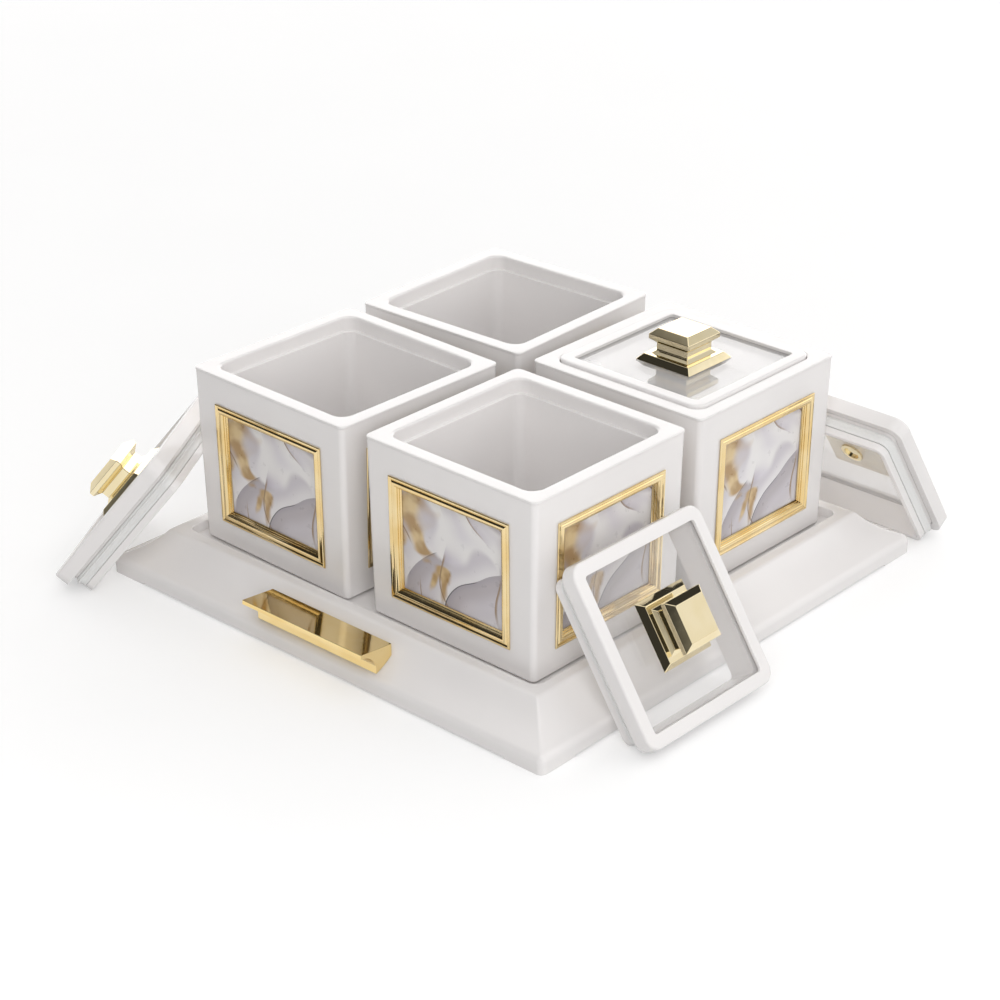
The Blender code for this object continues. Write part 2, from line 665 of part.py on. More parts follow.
def make_tub():
    """The inner tub: rim plate, locating rib, stepped mouth with the lid's ledge, walls and round floor."""
    top = CANISTER_HEIGHT
    rim_half = CANISTER_TOP_WIDTH / 2 + RIM_OVERHANG
    rib_half = shell_half(SHELL_TOP) - SHELL_WALL - SEAT_GAP
    rib_draft = (LOCATING_RIB_DEPTH - RIM_PLATE) * math.tan(wall_tilt())
    rib_radius = max(CANISTER_CORNER_RADIUS - SHELL_WALL - SEAT_GAP, SEAT_GAP)
    mouth_outer = MOUTH_HALF + BOWL_WALL
    bowl_outer_radius = BOWL_CORNER_RADIUS + BOWL_WALL
    profile = [
        (BOWL_FLOOR_HALF - BOWL_FLOOR_ROUND, BOWL_CORNER_RADIUS, BOWL_FLOOR_BOTTOM),
        (BOWL_FLOOR_HALF + BOWL_WALL, bowl_outer_radius, BOWL_FLOOR_BOTTOM + BOWL_FLOOR_ROUND),
        (BOWL_TOP_HALF + BOWL_WALL, bowl_outer_radius, LEDGE_HEIGHT - BOWL_WALL),
        (mouth_outer, MOUTH_CORNER_RADIUS + BOWL_WALL, LEDGE_HEIGHT - BOWL_WALL),
        (mouth_outer, MOUTH_CORNER_RADIUS + BOWL_WALL, top - DECK_THICKNESS),
        (rib_half - LOCATING_RIB_WALL - rib_draft, CANISTER_CORNER_RADIUS, top - DECK_THICKNESS),
        (rib_half - LOCATING_RIB_WALL - rib_draft, CANISTER_CORNER_RADIUS, top - LOCATING_RIB_DEPTH),
        (rib_half - rib_draft, rib_radius, top - LOCATING_RIB_DEPTH),
        (rib_half, rib_radius, top - RIM_PLATE),
        (rim_half, RIM_CORNER_RADIUS, top - RIM_PLATE),
        (rim_half, RIM_CORNER_RADIUS, top - RIM_EDGE_ROUND),
        (rim_half - RIM_EDGE_ROUND, RIM_CORNER_RADIUS - RIM_EDGE_ROUND, top),
        (MOUTH_HALF + MOUTH_EDGE_ROUND, MOUTH_CORNER_RADIUS + MOUTH_EDGE_ROUND, top),
        (MOUTH_HALF, MOUTH_CORNER_RADIUS, top - MOUTH_EDGE_ROUND),
        (MOUTH_HALF, MOUTH_CORNER_RADIUS, LEDGE_HEIGHT),
        (BOWL_TOP_HALF, BOWL_CORNER_RADIUS, LEDGE_HEIGHT),
    ]
    fillet_centre = (BOWL_FLOOR_HALF - BOWL_FLOOR_ROUND, BOWL_FLOOR_TOP + BOWL_FLOOR_ROUND)
    for half, height in arc(*fillet_centre, BOWL_FLOOR_ROUND, 0, -math.pi / 2, 2):
        radius = max(BOWL_CORNER_RADIUS - (BOWL_FLOOR_HALF - half), SEAT_GAP)
        profile.append((half, radius, height))
    rings = [square(half, radius, height, BOWL_CORNER_STEPS) for half, radius, height in profile]
    return loft("inner_tub", rings)


def make_picture_frame():
    """A mitred moulding set in the shell's window: flange, outer band, groove, bead and inner bevel."""
    bead_width = (MOULDING_WIDTH - EDGE_BAND) / 2
    profile = (
        (FLANGE_LAP, -SHELL_WALL),
        (FLANGE_LAP, SEAT_GAP),
        (0, SEAT_GAP),
        (0, MOULDING_RISE),
        (EDGE_BAND, MOULDING_RISE),
        (EDGE_BAND + GROOVE_RISE, GROOVE_RISE),
        (EDGE_BAND + bead_width / 2, BEAD_RISE),
        (EDGE_BAND + bead_width, BEAD_RISE),
        (EDGE_BAND + bead_width * 3 / 2, GROOVE_RISE),
        (MOULDING_WIDTH, SEAT_GAP - SHELL_WALL),
        (MOULDING_WIDTH, -SHELL_WALL),
    )
    rings = []
    for inset, height in profile:
        rings.append(ring(PICTURE_WIDTH / 2 - inset, PICTURE_HEIGHT / 2 - inset, 0, height, 0))
    return loft("picture_frame", rings, looped=True)


def canister_matrix(place):
    """Where a canister stands: the middle of its foot, turned as it was put down."""
    share_x, share_y = CANISTER_PLACE_SHARES[place]
    middle = (share_x * CANISTER_PITCH, share_y * CANISTER_PITCH, CANISTER_FOOT_Z)
    return Matrix.Translation(middle) @ Matrix.Rotation(CANISTER_TURNS[place], 4, "Z")


def add_canisters():
    """Four canisters that share their meshes. Returns the empty that carries each."""
    shell = make_shell()
    tub = make_tub()
    frame = make_picture_frame()
    sleeve = make_sleeve()
    carriers = {}
    for place in CANISTER_PLACE_SHARES:
        carrier = add_empty(f"canister_{place}_lift_axis", canister_matrix(place))
        add_piece(f"canister_{place}_outer_shell", shell, "white_plastic", carrier)
        add_piece(f"canister_{place}_inner_tub", tub, "white_plastic", carrier)
        add_piece(f"canister_{place}_printed_sleeve", sleeve, "printed_sleeve", carrier)
        for side, heading in SIDE_HEADINGS.items():
            name = f"canister_{place}_picture_frame_{side}"
            add_piece(name, frame, "gold_moulding", carrier, side_frame(heading))
        carriers[place] = carrier
    return carriers


# Lids. Their frame has the middle of the window's upper face as its origin and the knob along +Z.
def make_lid_frame():
    """The white lid frame: rounded upper edge, window opening and a rebate that takes the pane and plug."""
    half = LID_WIDTH / 2
    corner = LID_CORNER_RADIUS
    window = WINDOW_HALF
    rebate_radius = PLUG_CORNER_RADIUS + SEAT_GAP
    round_share = math.sin(math.pi / 4)
    round_inset = LID_EDGE_ROUND * (1 - round_share)
    profile = (
        (half, corner, LID_FRAME_BOTTOM),
        (half, corner, LID_FRAME_TOP - LID_EDGE_ROUND),
        (half - round_inset, corner - round_inset, LID_FRAME_TOP - round_inset),
        (half - LID_EDGE_ROUND, corner - LID_EDGE_ROUND, LID_FRAME_TOP),
        (window + WINDOW_EDGE_BEVEL, WINDOW_CORNER_RADIUS + WINDOW_EDGE_BEVEL, LID_FRAME_TOP),
        (window, WINDOW_CORNER_RADIUS, LID_FRAME_TOP - WINDOW_EDGE_BEVEL),
        (window, WINDOW_CORNER_RADIUS, SEAT_GAP),
        (REBATE_HALF, rebate_radius, SEAT_GAP),
        (REBATE_HALF, rebate_radius, LID_FRAME_BOTTOM),
    )
    rings = [square(size, radius, height, BOWL_CORNER_STEPS) for size, radius, height in profile]
    return loft("lid_frame", rings, looped=True)


def make_window():
    """The clear pane, with a hole in its middle for the knob's boss."""
    hole = KNOB_BOSS_RADIUS + SEAT_GAP
    profile = (
        (PANE_HALF, PLUG_CORNER_RADIUS, 0),
        (PANE_HALF, PLUG_CORNER_RADIUS, -PANE_THICKNESS),
        (hole, hole, -PANE_THICKNESS),
        (hole, hole, 0),
    )
    rings = [square(size, radius, height, BOWL_CORNER_STEPS) for size, radius, height in profile]
    return loft("lid_window", rings, looped=True)


def make_plug_ring():
    """The ring below the pane that centres the lid, with a groove round it for the gasket."""
    groove = PLUG_HALF - GASKET_GROOVE_DEPTH
    profile = (
        (PLUG_HALF, -PANE_THICKNESS - SEAT_GAP),
        (PLUG_HALF, -GASKET_GROOVE_TOP),
        (groove, -GASKET_GROOVE_TOP),
        (groove, -GASKET_GROOVE_BOTTOM),
        (PLUG_HALF, -GASKET_GROOVE_BOTTOM),
        (PLUG_HALF, PLUG_TIP_ROUND - PLUG_LENGTH),
        (PLUG_HALF - PLUG_TIP_ROUND, -PLUG_LENGTH),
        (PLUG_INNER_HALF, -PLUG_LENGTH),
        (PLUG_INNER_HALF, -PANE_THICKNESS - SEAT_GAP),
    )
    rings = []
    for size, height in profile:
        rings.append(square(size, PLUG_CORNER_RADIUS - (PLUG_HALF - size), height, BOWL_CORNER_STEPS))
    return loft("lid_plug_ring", rings, looped=True)


def make_gasket():
    """The soft seal in the plug ring's groove, with a round-tipped fin that reaches for the tub's walls."""
    inner = PLUG_HALF - GASKET_GROOVE_DEPTH + SEAT_GAP
    back = inner + GASKET_BACK
    tip = back + FIN_REACH
    top = -GASKET_GROOVE_TOP - SEAT_GAP
    bottom = -GASKET_GROOVE_BOTTOM + SEAT_GAP
    profile = (
        (inner, top),
        (back, top),
        (back, top - FIN_NOTCH),
        (tip - FIN_ROUND, top - FIN_DROP + FIN_ROUND),
        (tip, top - FIN_DROP),
        (tip - FIN_ROUND, top - FIN_DROP - FIN_ROUND),
        (back, top - FIN_ROOT),
        (back, bottom),
        (inner, bottom),
    )
    rings = []
    for size, height in profile:
        rings.append(square(size, PLUG_CORNER_RADIUS - (PLUG_HALF - size), height, BOWL_CORNER_STEPS))
    return loft("lid_gasket", rings, looped=True)


def make_knob():
    """The square knob: stepped base, waisted neck, bevelled head and a cored boss that passes the pane."""
    hollow_half = KNOB_BASE_WIDTH / 2 - KNOB_HOLLOW_WALL
    base = SEAT_GAP
    edge = KNOB_EDGE_RADIUS
    profile = (
        (KNOB_CORE_RADIUS, KNOB_CORE_RADIUS, KNOB_CORE_TOP),
        (KNOB_CORE_RADIUS, KNOB_CORE_RADIUS, -KNOB_BOSS_DROP),
        (KNOB_BOSS_RADIUS, KNOB_BOSS_RADIUS, -KNOB_BOSS_DROP),
        (KNOB_BOSS_RADIUS, KNOB_BOSS_RADIUS, KNOB_HOLLOW_DEPTH),
        (hollow_half - KNOB_HOLLOW_DEPTH, edge, KNOB_HOLLOW_DEPTH),
        (hollow_half, edge, base),
        (KNOB_BASE_WIDTH / 2, edge, base),
        (KNOB_STEP_WIDTH / 2, edge, KNOB_STEP_HEIGHT),
        (KNOB_COLLAR_WIDTH / 2, edge, KNOB_STEP_HEIGHT),
        (KNOB_NECK_WIDTH / 2, edge, KNOB_COLLAR_HEIGHT),
        (KNOB_NECK_WIDTH / 2, edge, KNOB_NECK_HEIGHT),
        (KNOB_HEAD_WIDTH / 2, edge, KNOB_FLARE_HEIGHT),
        (KNOB_HEAD_WIDTH / 2, edge, KNOB_BAND_HEIGHT),
        (KNOB_TOP_WIDTH / 2, edge, KNOB_HEIGHT),
    )
    rings = [square(size, radius, height, KNOB_CORNER_STEPS) for size, radius, height in profile]
    return loft("knob", rings)


def lid_edge_corners():
    """Half widths and heights of the edges that a leaning lid can touch first, in the lid's frame."""
    return (
        (LID_WIDTH / 2, LID_FRAME_TOP - LID_EDGE_ROUND),
        (LID_WIDTH / 2, LID_FRAME_BOTTOM),
        (PLUG_HALF + FIN_RISE, -GASKET_GROOVE_TOP - SEAT_GAP - FIN_DROP),
        (PLUG_HALF, PLUG_TIP_ROUND - PLUG_LENGTH),
        (PLUG_HALF - PLUG_TIP_ROUND, -PLUG_LENGTH),
    )


def lean_angle(stand_off, heading):
    """Angle between a leaning lid and the table, for a lid that clears the tray's edge by a stand-off."""
    edge = TRAY_HALF - (CANISTER_PITCH + CANISTER_MEAN_WIDTH) / 2
    run = (edge + stand_off) / max(abs(math.cos(heading)), abs(math.sin(heading)))
    return math.acos(run / LID_WIDTH)


def lean_origin_height(lean):
    """Height of a leaning lid's origin when its lowest edge is on the table."""
    return max(half * math.sin(lean) - up * math.cos(lean) for half, up in lid_edge_corners())


def lean_touch(lean):
    """How far a leaning lid's origin is from what it leans on, and the height at which it touches."""
    touches = []
    for half, up in lid_edge_corners():
        reach = half * math.cos(lean) - up * math.sin(lean)
        touches.append((reach, lean_origin_height(lean) + half * math.sin(lean) + up * math.cos(lean)))
    return max(touches)


def lean_matrix(heading, lean, surface, sideways):
    """Frame of a lid that leans back on a surface at a distance along its heading, shifted sideways."""
    outward = Vector((math.cos(heading), math.sin(heading), 0))
    aside = Vector((-math.sin(heading), math.cos(heading), 0))
    upward = Vector((0, 0, math.sin(lean))) - outward * math.cos(lean)
    normal = Vector((0, 0, math.cos(lean))) + outward * math.sin(lean)
    reach, _ = lean_touch(lean)
    origin = outward * (surface + reach) + aside * sideways + Vector((0, 0, lean_origin_height(lean)))
    frame = Matrix((aside, upward, normal)).transposed().to_4x4()
    return Matrix.Translation(origin) @ frame


def picture_reach(lean):
    """Distance from a canister's middle to the front of its pictures where a leaning lid touches them."""
    _, height = lean_touch(lean)
    proud = max(MOULDING_RISE, BEAD_RISE) + SEAT_GAP
    return shell_half(height - CANISTER_FOOT_Z) + proud / math.cos(wall_tilt())


def side_lean_matrix(place, heading, stand_off, shift):
    """Frame of a lid that leans on one side of a canister, turned as the canister is."""
    lean = lean_angle(stand_off, heading)
    middle = canister_matrix(place).translation
    heading += CANISTER_TURNS[place]
    outward = Vector((math.cos(heading), math.sin(heading), 0))
    aside = Vector((-math.sin(heading), math.cos(heading), 0))
    surface = middle.dot(outward) + picture_reach(lean)
    return lean_matrix(heading, lean, surface, middle.dot(aside) + shift)


def corner_lean_matrix(place, heading, stand_off, shift):
    """Frame of a lid that leans on the outermost upright corner of a canister."""
    lean = lean_angle(stand_off, heading)
    _, height = lean_touch(lean)
    half = shell_half(height - CANISTER_FOOT_Z) - CANISTER_CORNER_RADIUS
    share_x, share_y = CANISTER_PLACE_SHARES[place]
    local = Vector((math.copysign(half, share_x), math.copysign(half, share_y), 0))
    corner = canister_matrix(place) @ local
    outward = Vector((math.cos(heading), math.sin(heading), 0))
    aside = Vector((-math.sin(heading), math.cos(heading), 0))
    surface = corner.dot(outward) + CANISTER_CORNER_RADIUS + SEAT_GAP
    return lean_matrix(heading, lean, surface, corner.dot(aside) + shift)


def add_lids(carriers):
    """Four lids that share their meshes: one seated on its canister and three that lean."""
    meshes = (
        ("frame", make_lid_frame(), "white_plastic"),
        ("window", make_window(), "clear_plastic"),
        ("plug_ring", make_plug_ring(), "white_plastic"),
        ("gasket", make_gasket(), "silicone"),
        ("knob", make_knob(), "pale_gold"),
    )
    right = side_lean_matrix("front_right", 0, RIGHT_LID_STAND_OFF, RIGHT_LID_SHIFT)
    back_shift = LID_WIDTH / 2 + PICTURE_WIDTH / 2 - CANISTER_PITCH - BACK_LID_OVERREACH
    back = side_lean_matrix("back_right", math.pi / 2, BACK_LID_STAND_OFF, back_shift)
    left = corner_lean_matrix("front_left", LEFT_LID_HEADING, LEFT_LID_STAND_OFF, LEFT_LID_SHIFT)
    places = (
        ("lid_seated", Matrix.Translation((0, 0, LID_SEAT)), carriers["back_right"]),
        ("lid_leaning_right", right, None),
        ("lid_leaning_back", back, None),
        ("lid_leaning_left", left, None),
    )
    for name, matrix, parent in places:
        carrier = add_empty(f"{name}_lift_axis", matrix, parent)
        for piece, mesh, finish in meshes:
            add_piece(f"{name}_{piece}", mesh, finish, carrier)


def main():
    for item in list(bpy.data.objects):
        bpy.data.objects.remove(item)
    add_tray()
    add_lids(add_canisters())
    bpy.context.view_layer.update()


main()
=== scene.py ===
"""The looks of a square serving tray with two handles and four lidded canisters.

Metres, +Z up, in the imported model's frame. Each piece is a finer mesh in the place of one CAD node.
"""
import json
import math

import bmesh
import bpy
from mathutils import Matrix, Vector

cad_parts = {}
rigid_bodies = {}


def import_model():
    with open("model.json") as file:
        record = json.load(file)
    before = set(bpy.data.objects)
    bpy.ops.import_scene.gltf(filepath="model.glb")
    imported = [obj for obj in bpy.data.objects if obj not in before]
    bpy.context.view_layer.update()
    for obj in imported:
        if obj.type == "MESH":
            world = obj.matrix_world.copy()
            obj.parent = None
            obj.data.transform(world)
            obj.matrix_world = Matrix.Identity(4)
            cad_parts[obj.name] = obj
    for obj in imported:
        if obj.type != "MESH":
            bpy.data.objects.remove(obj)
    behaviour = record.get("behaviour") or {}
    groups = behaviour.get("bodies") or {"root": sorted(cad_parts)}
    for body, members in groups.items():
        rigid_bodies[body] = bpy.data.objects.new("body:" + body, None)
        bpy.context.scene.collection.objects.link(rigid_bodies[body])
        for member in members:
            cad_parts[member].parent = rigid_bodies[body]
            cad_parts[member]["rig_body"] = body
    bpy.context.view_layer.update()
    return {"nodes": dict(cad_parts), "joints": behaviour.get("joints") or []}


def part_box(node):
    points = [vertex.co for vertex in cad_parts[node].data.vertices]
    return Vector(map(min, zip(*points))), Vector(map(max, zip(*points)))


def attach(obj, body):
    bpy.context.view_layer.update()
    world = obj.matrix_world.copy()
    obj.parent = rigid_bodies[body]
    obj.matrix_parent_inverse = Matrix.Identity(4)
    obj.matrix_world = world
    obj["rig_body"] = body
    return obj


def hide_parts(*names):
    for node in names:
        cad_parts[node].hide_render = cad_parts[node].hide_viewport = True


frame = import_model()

# Straight steps in a quarter turn, in an eased edge and along the section's arcs
CORNER_STEPS = 8
SMALL_CORNER_STEPS = 4
EASE_STEPS = 4
SHOULDER_STEPS = 8
COVE_STEPS = 20
RIDGE_STEPS = 6
GRIP_STEPS = 16
BEAD_STEPS = 10
EDGE_SEGMENTS = 3

# Faces that meet at less than this angle look smooth
SMOOTH_ANGLE = math.radians(36)

# Clearances, how far cutters overrun and joined solids sink in, and lengths that count as none
SEAT_GAP = 0.0003
CUT_OVERRUN = 0.001
JOIN_SINK = 0.0006
LEAST_RADIUS = 0.00004
NO_LENGTH = 0.0003

# Tray
TRAY_WALL = 0.0026
TRAY_CORNER_RADIUS = 0.0035
HIP_RADIUS = 0.0012
RIM_HEIGHT = 0.006
SHOULDER_RADIUS = 0.004
SHOULDER_TURN = math.radians(70)
COVE_RUN = 0.0205
RIDGE_WIDTH = 0.0076
TRAY_FLOOR_HEIGHT = 0.0182
RIDGE_CROWN = 0.0012
RECESS_CORNER_RADIUS = 0.005
RECESS_EDGE_ROUND = 0.0006
RECESS_FOOT_ROUND = 0.0005
FOOT_LENGTH = 0.023
RIM_RELIEF = 0.001

# Tray underside
RIB_THICKNESS = 0.0016
RIB_CLEARANCE = 0.006
RIB_SPACING = 0.062
CENTRE_FOOT_RADIUS = 0.011
SCREW_BLOCK_DEPTH = 0.008
SCREW_BLOCK_WIDTH = 0.009
SCREW_BLOCK_HEIGHT = 0.006

# Handles
HANDLE_INSET = 0.0136
HANDLE_BACK_DROP = 0.0002
HANDLE_LIP_RISE = 0.0018
HANDLE_LIP_THICKNESS = 0.0022
HANDLE_LIP_SLANT = 0.0003
GRIP_FOOT_INSET = 0.0031
GRIP_FOOT_RISE = 0.00187
HANDLE_EDGE_ROUND = 0.00022

# Screws
SCREW_END_DISTANCE = 0.0155
SCREW_INSET = 0.0089
SCREW_BITE = 0.0055
SCREW_RADIUS = 0.0015
SCREW_HEAD_RADIUS = 0.0029
SCREW_HEAD_HEIGHT = 0.0018
SCREW_HEAD_ROUND = 0.0007
SCREW_TIP = 0.0008
CROSS_WIDTH = 0.0008
CROSS_LENGTH = 0.0034
CROSS_DEPTH = 0.0009

# Canisters
CANISTER_TOP_WIDTH = 0.1072
CANISTER_TAPER = 0.0027
CANISTER_CORNER_RADIUS = 0.003
SHELL_WALL = 0.002
SHELL_FLOOR = 0.002
SHELL_EDGE_ROUND = 0.0006
SHELL_BOTTOM = 0.001
FOOT_RING_INSET = 0.003
FOOT_RING_WIDTH = 0.0025
FOOT_RING_ROUND = 0.0003

# Inner tubs
RIM_PLATE = 0.001
RIM_OVERHANG = 0.0003
RIM_CORNER_RADIUS = 0.0033
RIM_EDGE_ROUND = 0.0006
DECK_THICKNESS = 0.0021
LOCATING_RIB_DEPTH = 0.0045
LOCATING_RIB_WALL = 0.0015
DECK_WIDTH = 0.0075
MOUTH_CORNER_RADIUS = 0.0075
MOUTH_EDGE_ROUND = 0.0011
LEDGE_DEPTH = 0.0072
LEDGE_WIDTH = 0.0022
LEDGE_EDGE_ROUND = 0.0004
BOWL_FLOOR_INSET = 0.01095
BOWL_WALL = 0.002
BOWL_FLOOR_ROUND = 0.005
BOWL_STAND = 0.0012

# Picture frames, and the printed sleeve that shows through them
PICTURE_SIDE_MARGIN = 0.0149
PICTURE_TOP_MARGIN = 0.0157
PICTURE_BOTTOM_MARGIN = 0.0136
MOULDING_WIDTH = 0.0063
MOULDING_RISE = 0.001
MOULDING_EDGE_ROUND = 0.00025
EDGE_BAND = 0.0013
FLANGE_LAP = 0.0012
BEAD_RISE = 0.00125
BEAD_SHARE = 2 / 3
GROOVE_RISE = 0.0005
SLEEVE_THICKNESS = 0.0006

# Two fine lines on the picture frame's inner bevel: their places and width as shares of it, and their depth
BEVEL_LINES = (0.22, 0.62)
BEVEL_LINE_WIDTH = 0.16
BEVEL_LINE_DEPTH = 0.0002

# Lids
LID_FRAME_DEPTH = 0.0081
LID_EDGE_ROUND = 0.0012
LID_FOOT_ROUND = 0.0003
WINDOW_RECESS = 0.0018
WINDOW_CORNER_RADIUS = 0.0016
WINDOW_EDGE_BEVEL = 0.0004
PANE_LAP = 0.0025
PANE_THICKNESS = 0.002
PANE_EDGE_ROUND = 0.0002
PLUG_LIP = 0.0038
PLUG_WALL = 0.0026
PLUG_CORNER_RADIUS = 0.0052
PLUG_TIP_ROUND = 0.0005
GASKET_DROP = 0.0014
GASKET_HEIGHT = 0.006
GASKET_GROOVE_DEPTH = 0.0011
GASKET_BACK = 0.0012
GASKET_EDGE_ROUND = 0.0002
FIN_REACH = 0.0014
FIN_NOTCH = 0.0016
FIN_DROP = 0.0018
FIN_ROUND = 0.0007
FIN_ROOT = 0.0038

# Knobs
KNOB_BASE_WIDTH = 0.0344
KNOB_STEP_WIDTH = 0.0286
KNOB_STEP_HEIGHT = 0.0034
KNOB_COLLAR_WIDTH = 0.0234
KNOB_COLLAR_HEIGHT = 0.005
KNOB_NECK_WIDTH = 0.0196
KNOB_NECK_HEIGHT = 0.009
KNOB_HEAD_WIDTH = 0.0255
KNOB_FLARE_HEIGHT = 0.0114
KNOB_BAND_HEIGHT = 0.0138
KNOB_TOP_WIDTH = 0.019
KNOB_HEIGHT = 0.0168
KNOB_EDGE_RADIUS = 0.0004
KNOB_EDGE_EASE = 0.00022
KNOB_HOLLOW_WALL = 0.002
KNOB_HOLLOW_DEPTH = 0.0022
KNOB_BOSS_RADIUS = 0.0063
KNOB_BOSS_DROP = 0.0028
KNOB_CORE_RADIUS = 0.0043
KNOB_CORE_FLOOR = -0.0015

# Camera, at the photograph's place and angle
CAMERA_PLACE = (0.75746, -0.85388, 0.60221)
CAMERA_AZIMUTH = 41.961
CAMERA_ELEVATION = 26.418
SENSOR_WIDTH = 36.0
LENS = 89.34

SIDE_HEADINGS = {"right": 0.0, "back": math.pi / 2, "left": math.pi, "front": -math.pi / 2}
PLACES = ("front_left", "front_right", "back_left", "back_right")
LIDS = ("lid_seated", "lid_leaning_right", "lid_leaning_back", "lid_leaning_left")

# Frames of an upright outline whose extrusion runs along Y, and of one whose extrusion runs along X
ALONG_Y = Matrix.Rotation(math.pi / 2, 4, "X")
ALONG_X = Matrix.Rotation(math.pi / 2, 4, "Z") @ ALONG_Y

# Sizes that follow from the frame and from the ones above
TRAY_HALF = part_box("tray")[1].x
RIDGE_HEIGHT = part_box("tray")[1].z
HANDLE_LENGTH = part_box("handle_front")[1].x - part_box("handle_front")[0].x
CANISTER_HEIGHT = (
    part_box("canister_front_right_inner_tub")[1].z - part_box("canister_front_right_outer_shell")[0].z
)
CANISTER_BASE_WIDTH = CANISTER_TOP_WIDTH - CANISTER_TAPER
CANISTER_MEAN_WIDTH = (CANISTER_TOP_WIDTH + CANISTER_BASE_WIDTH) / 2
COVE_TOP_HALF = TRAY_HALF - COVE_RUN
RECESS_HALF = COVE_TOP_HALF - RIDGE_WIDTH
COVE_TOP_HEIGHT = RIDGE_HEIGHT - RIDGE_CROWN
HANDLE_BACK = TRAY_HALF - HANDLE_INSET
HANDLE_LIP_HEIGHT = COVE_TOP_HEIGHT + HANDLE_LIP_RISE
GRIP_FOOT = TRAY_HALF - GRIP_FOOT_INSET
SCREW_LINE = TRAY_HALF - SCREW_INSET
SCREW_REACH = (HANDLE_LENGTH - 2 * SCREW_END_DISTANCE) / 2
SHELL_TOP = CANISTER_HEIGHT - RIM_PLATE - SEAT_GAP
WALL_TILT = math.atan2(CANISTER_TAPER / 2, SHELL_TOP - SHELL_BOTTOM)
LEDGE_HEIGHT = CANISTER_HEIGHT - LEDGE_DEPTH
MOUTH_HALF = CANISTER_TOP_WIDTH / 2 - DECK_WIDTH
BOWL_TOP_HALF = MOUTH_HALF - LEDGE_WIDTH
BOWL_FLOOR_HALF = CANISTER_BASE_WIDTH / 2 - BOWL_FLOOR_INSET
BOWL_CORNER_RADIUS = MOUTH_CORNER_RADIUS - LEDGE_WIDTH
BOWL_FLOOR_BOTTOM = SHELL_BOTTOM + SHELL_FLOOR + BOWL_STAND
BOWL_FLOOR_TOP = BOWL_FLOOR_BOTTOM + BOWL_WALL
PICTURE_WIDTH = CANISTER_MEAN_WIDTH - 2 * PICTURE_SIDE_MARGIN
PICTURE_HEIGHT = CANISTER_HEIGHT - PICTURE_TOP_MARGIN - PICTURE_BOTTOM_MARGIN
PICTURE_LIFT = PICTURE_BOTTOM_MARGIN + PICTURE_HEIGHT / 2
LID_HALF = MOUTH_HALF - SEAT_GAP
LID_FRAME_BOTTOM = WINDOW_RECESS - LID_FRAME_DEPTH
GASKET_GROOVE_TOP = GASKET_DROP - LID_FRAME_BOTTOM
GASKET_GROOVE_BOTTOM = GASKET_GROOVE_TOP + GASKET_HEIGHT
PLUG_LENGTH = GASKET_GROOVE_BOTTOM + PLUG_LIP
LID_SEAT = LEDGE_HEIGHT + SEAT_GAP - LID_FRAME_BOTTOM
FIN_RISE = SEAT_GAP + GASKET_BACK + FIN_REACH - GASKET_GROOVE_DEPTH


def bowl_half(height):
    """Half of the bowl's inner width at a height above the canister's foot."""
    wall_foot = BOWL_FLOOR_TOP + BOWL_FLOOR_ROUND
    share = (height - wall_foot) / (LEDGE_HEIGHT - wall_foot)
    return BOWL_FLOOR_HALF + (BOWL_TOP_HALF - BOWL_FLOOR_HALF) * share


PLUG_HALF = min(BOWL_TOP_HALF, bowl_half(LID_SEAT - PLUG_LENGTH)) - SEAT_GAP - FIN_RISE
PLUG_INNER_HALF = PLUG_HALF - PLUG_WALL
REBATE_HALF = PLUG_HALF + SEAT_GAP
WINDOW_HALF = PLUG_HALF - PANE_LAP


# Shapes
def ring(half_x, half_y, radius, height, steps):
    """Points of a rectangle with round corners at one height. With no steps the corners are sharp."""
    points = []
    for quarter, (side_x, side_y) in enumerate(((1, 1), (-1, 1), (-1, -1), (1, -1))):
        if steps == 0:
            points.append(Vector((side_x * half_x, side_y * half_y, height)))
            continue
        for step in range(steps + 1):
            angle = math.pi / 2 * (quarter + step / steps)
            x = side_x * (half_x - radius) + radius * math.cos(angle)
            y = side_y * (half_y - radius) + radius * math.sin(angle)
            points.append(Vector((x, y, height)))
    return points


def square(half, radius, height, steps=CORNER_STEPS):
    """A square ring. With its radius equal to its half width it is a circle."""
    return ring(half, half, max(radius, LEAST_RADIUS), height, steps)


def arc(centre_x, centre_y, radius, start, end, steps):
    """Points of an arc in a plane, both ends included."""
    points = []
    for step in range(steps + 1):
        angle = start + (end - start) * step / steps
        points.append((centre_x + radius * math.cos(angle), centre_y + radius * math.sin(angle)))
    return points


def eased(rows, looped=False):
    """A profile of half width, corner radius, height and easing, with its eased corners made round."""
    points = []
    for index, (half, radius, height, ease) in enumerate(rows):
        here = Vector((half, radius, height))
        if ease == 0 or (not looped and index in (0, len(rows) - 1)):
            points.append(here)
            continue
        ends = []
        for neighbour in (rows[index - 1], rows[(index + 1) % len(rows)]):
            away = Vector(neighbour[:3]) - here
            reach = math.hypot(away.x, away.z)
            ends.append(here + away * min(ease / reach, 0.5))
        for step in range(EASE_STEPS + 1):
            share = step / EASE_STEPS
            points.append(ends[0] * (1 - share) ** 2 + here * 2 * share * (1 - share) + ends[1] * share ** 2)
    return points


def finish_mesh(name, bm):
    """Turns a closed bmesh into a mesh whose faces point out."""
    bmesh.ops.recalc_face_normals(bm, faces=bm.faces)
    if bm.calc_volume(signed=True) < 0:
        bmesh.ops.reverse_faces(bm, faces=bm.faces)
    mesh = bpy.data.meshes.new(name)
    bm.to_mesh(mesh)
    bm.free()
    return mesh


